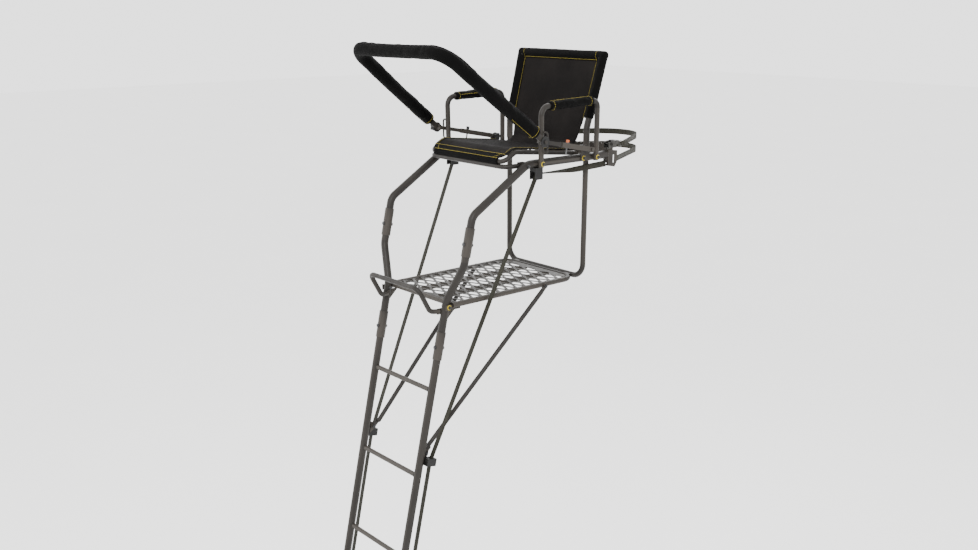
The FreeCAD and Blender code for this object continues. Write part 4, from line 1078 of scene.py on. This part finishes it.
def make_trunk_bands():
    """The two bands round the trunk, and the sewn loops that hold the upper one's hooks."""
    upright = Vector((0, 0, 1))
    for name, anchor, node in (("lower_trunk_band", LOWER_BAND, "trunk_strap"),
                               ("upper_trunk_band", UPPER_BAND, "ratchet_strap")):
        half = placed(trunk_band_path(anchor))
        path = half + [mirror(point) for point in reversed(half[:-1])]
        ribbon(name, path, upright, WEBBING_WIDTH, 0.002, "stand", [node], anchor.z * 10)
    for sign in (1, -1):
        loop = loop_path(Vector((sign * HOOK.x, HOOK.y + 0.0112, HOOK.z)))
        ribbon("hook_loop_" + side_name(sign), placed(loop), upright, 0.022, 0.0018, "stand", (), 4.0)
        make_strap_seam("band_stitching_" + side_name(sign), sign)


def loop_path(centre):
    """Webbing turned round a ring's rear limb and laid back on itself."""
    path = []
    for step in range(17):
        angle = math.radians(-70 - 220 * step / 16)
        path.append(centre + Vector((math.cos(angle) * 0.0042, math.sin(angle) * 0.0042, 0)))
    tail = Vector((0.0, 0.03, 0))
    return [path[0] + tail] + path + [path[-1] + tail]


def make_strap_seam(name, sign):
    """A sewn block where the upper band's end is folded back."""
    lines = []
    for offset in (-0.007, -0.0023, 0.0023, 0.007):
        start = Vector((sign * 0.2655, 0.912, UPPER_BAND.z + offset))
        finish = Vector((sign * 0.2535, 0.942, UPPER_BAND.z + offset))
        lines.append((placed([start] + straight(start, finish, 0.004)), lambda _: Vector((sign, 0.3, 0))))
    stitching(name, lines, "stand")


# --- small frame details ---
def bead(centre, axis, radius, thickness, seed):
    """A rippled weld bead round a tube."""
    rings = []
    side = axis.orthogonal().normalized()
    other = axis.cross(side)
    steps = 36
    for step in range(steps + 1):
        angle = 2 * math.pi * step / steps
        direction = side * math.cos(angle) + other * math.sin(angle)
        ripple = 1 + 0.16 * math.sin(angle * 11 + seed)
        ring = []
        for part in range(8):
            turn = 2 * math.pi * part / 8
            ring.append(centre + direction * (radius + math.cos(turn) * thickness * ripple)
                        + axis * (math.sin(turn) * thickness * ripple))
        rings.append(ring)
    return loft("bead", rings, caps=False)


def make_welds():
    """Weld beads where the rungs meet the ladder rails."""
    beads = []
    rail_radius = 0.0159
    reach = LADDER_X - rail_radius + 0.0012
    for index in range(RUNG_COUNT):
        for sign in (1, -1):
            centre = on_ladder(sign * reach, RUNG_FIRST + index * RUNG_PITCH) + PLATFORM
            beads.append(bead(centre, Vector((1, 0, 0)), 0.0103, 0.0021, index * 1.3 + sign))
    welds = join("rung_welds", beads)
    finish_piece(welds, "frame_paint", "stand")


# --- studio ---
def make_studio():
    """A pale floor, an even white surround and three soft lamps."""
    half = 60
    corners = [Vector((-half, -half, 0)), Vector((half, -half, 0)), Vector((half, half, 0)),
               Vector((-half, half, 0))]
    floor = mesh_object("studio_floor", corners, [(0, 1, 2, 3)])
    floor.data.materials.append(floor_material())
    world = bpy.data.worlds.new("studio")
    world.use_nodes = True
    background = world.node_tree.nodes["Background"]
    background.inputs["Color"].default_value = (1, 1, 1, 1)
    background.inputs["Strength"].default_value = 2.4
    bpy.context.scene.world = world
    for name, place, energy, size in (("key", (4.5, -6.0, 8.5), 520, 3.0),
                                      ("fill", (-5.0, -5.5, 6.0), 160, 4.0),
                                      ("rim", (-2.5, 4.5, 8.0), 260, 3.0)):
        lamp = bpy.data.lights.new(name, "AREA")
        lamp.energy = energy
        lamp.size = size
        holder = bpy.data.objects.new(name, lamp)
        holder.location = place
        aim = Vector((0, -0.8, 4.0)) - Vector(place)
        holder.rotation_euler = aim.to_track_quat("-Z", "Y").to_euler()
        bpy.context.scene.collection.objects.link(holder)


def make_camera():
    """Three-quarter view from the ladder side, a little above the seat, as the photograph was taken."""
    azimuth = 0.8550
    elevation = 0.3691
    data = bpy.data.cameras.new("camera")
    data.sensor_width = 36
    data.lens = 37.49
    data.shift_x = -0.0132
    data.shift_y = 0.1245
    data.clip_end = 200
    camera = bpy.data.objects.new("camera", data)
    camera.location = Vector((3.3043, -2.4197, 1.1246)) + PLATFORM
    back = Vector((math.sin(azimuth) * math.cos(elevation), -math.cos(azimuth) * math.cos(elevation),
                   math.sin(elevation)))
    camera.rotation_euler = (-back).to_track_quat("-Z", "Y").to_euler()
    bpy.context.scene.collection.objects.link(camera)
    bpy.context.scene.camera = camera


make_camera()
make_studio()
finish_cad_nodes()
make_rail_sleeve()
both_sides(make_arm_sleeve, "arm_sleeve")
make_backrest_panel()
make_backrest_sleeves()
make_seat_cloth()
make_seat_borders()
make_sling_tongue()
both_sides(make_lockdown_strap, "lockdown_webbing")
make_trunk_bands()
make_welds()
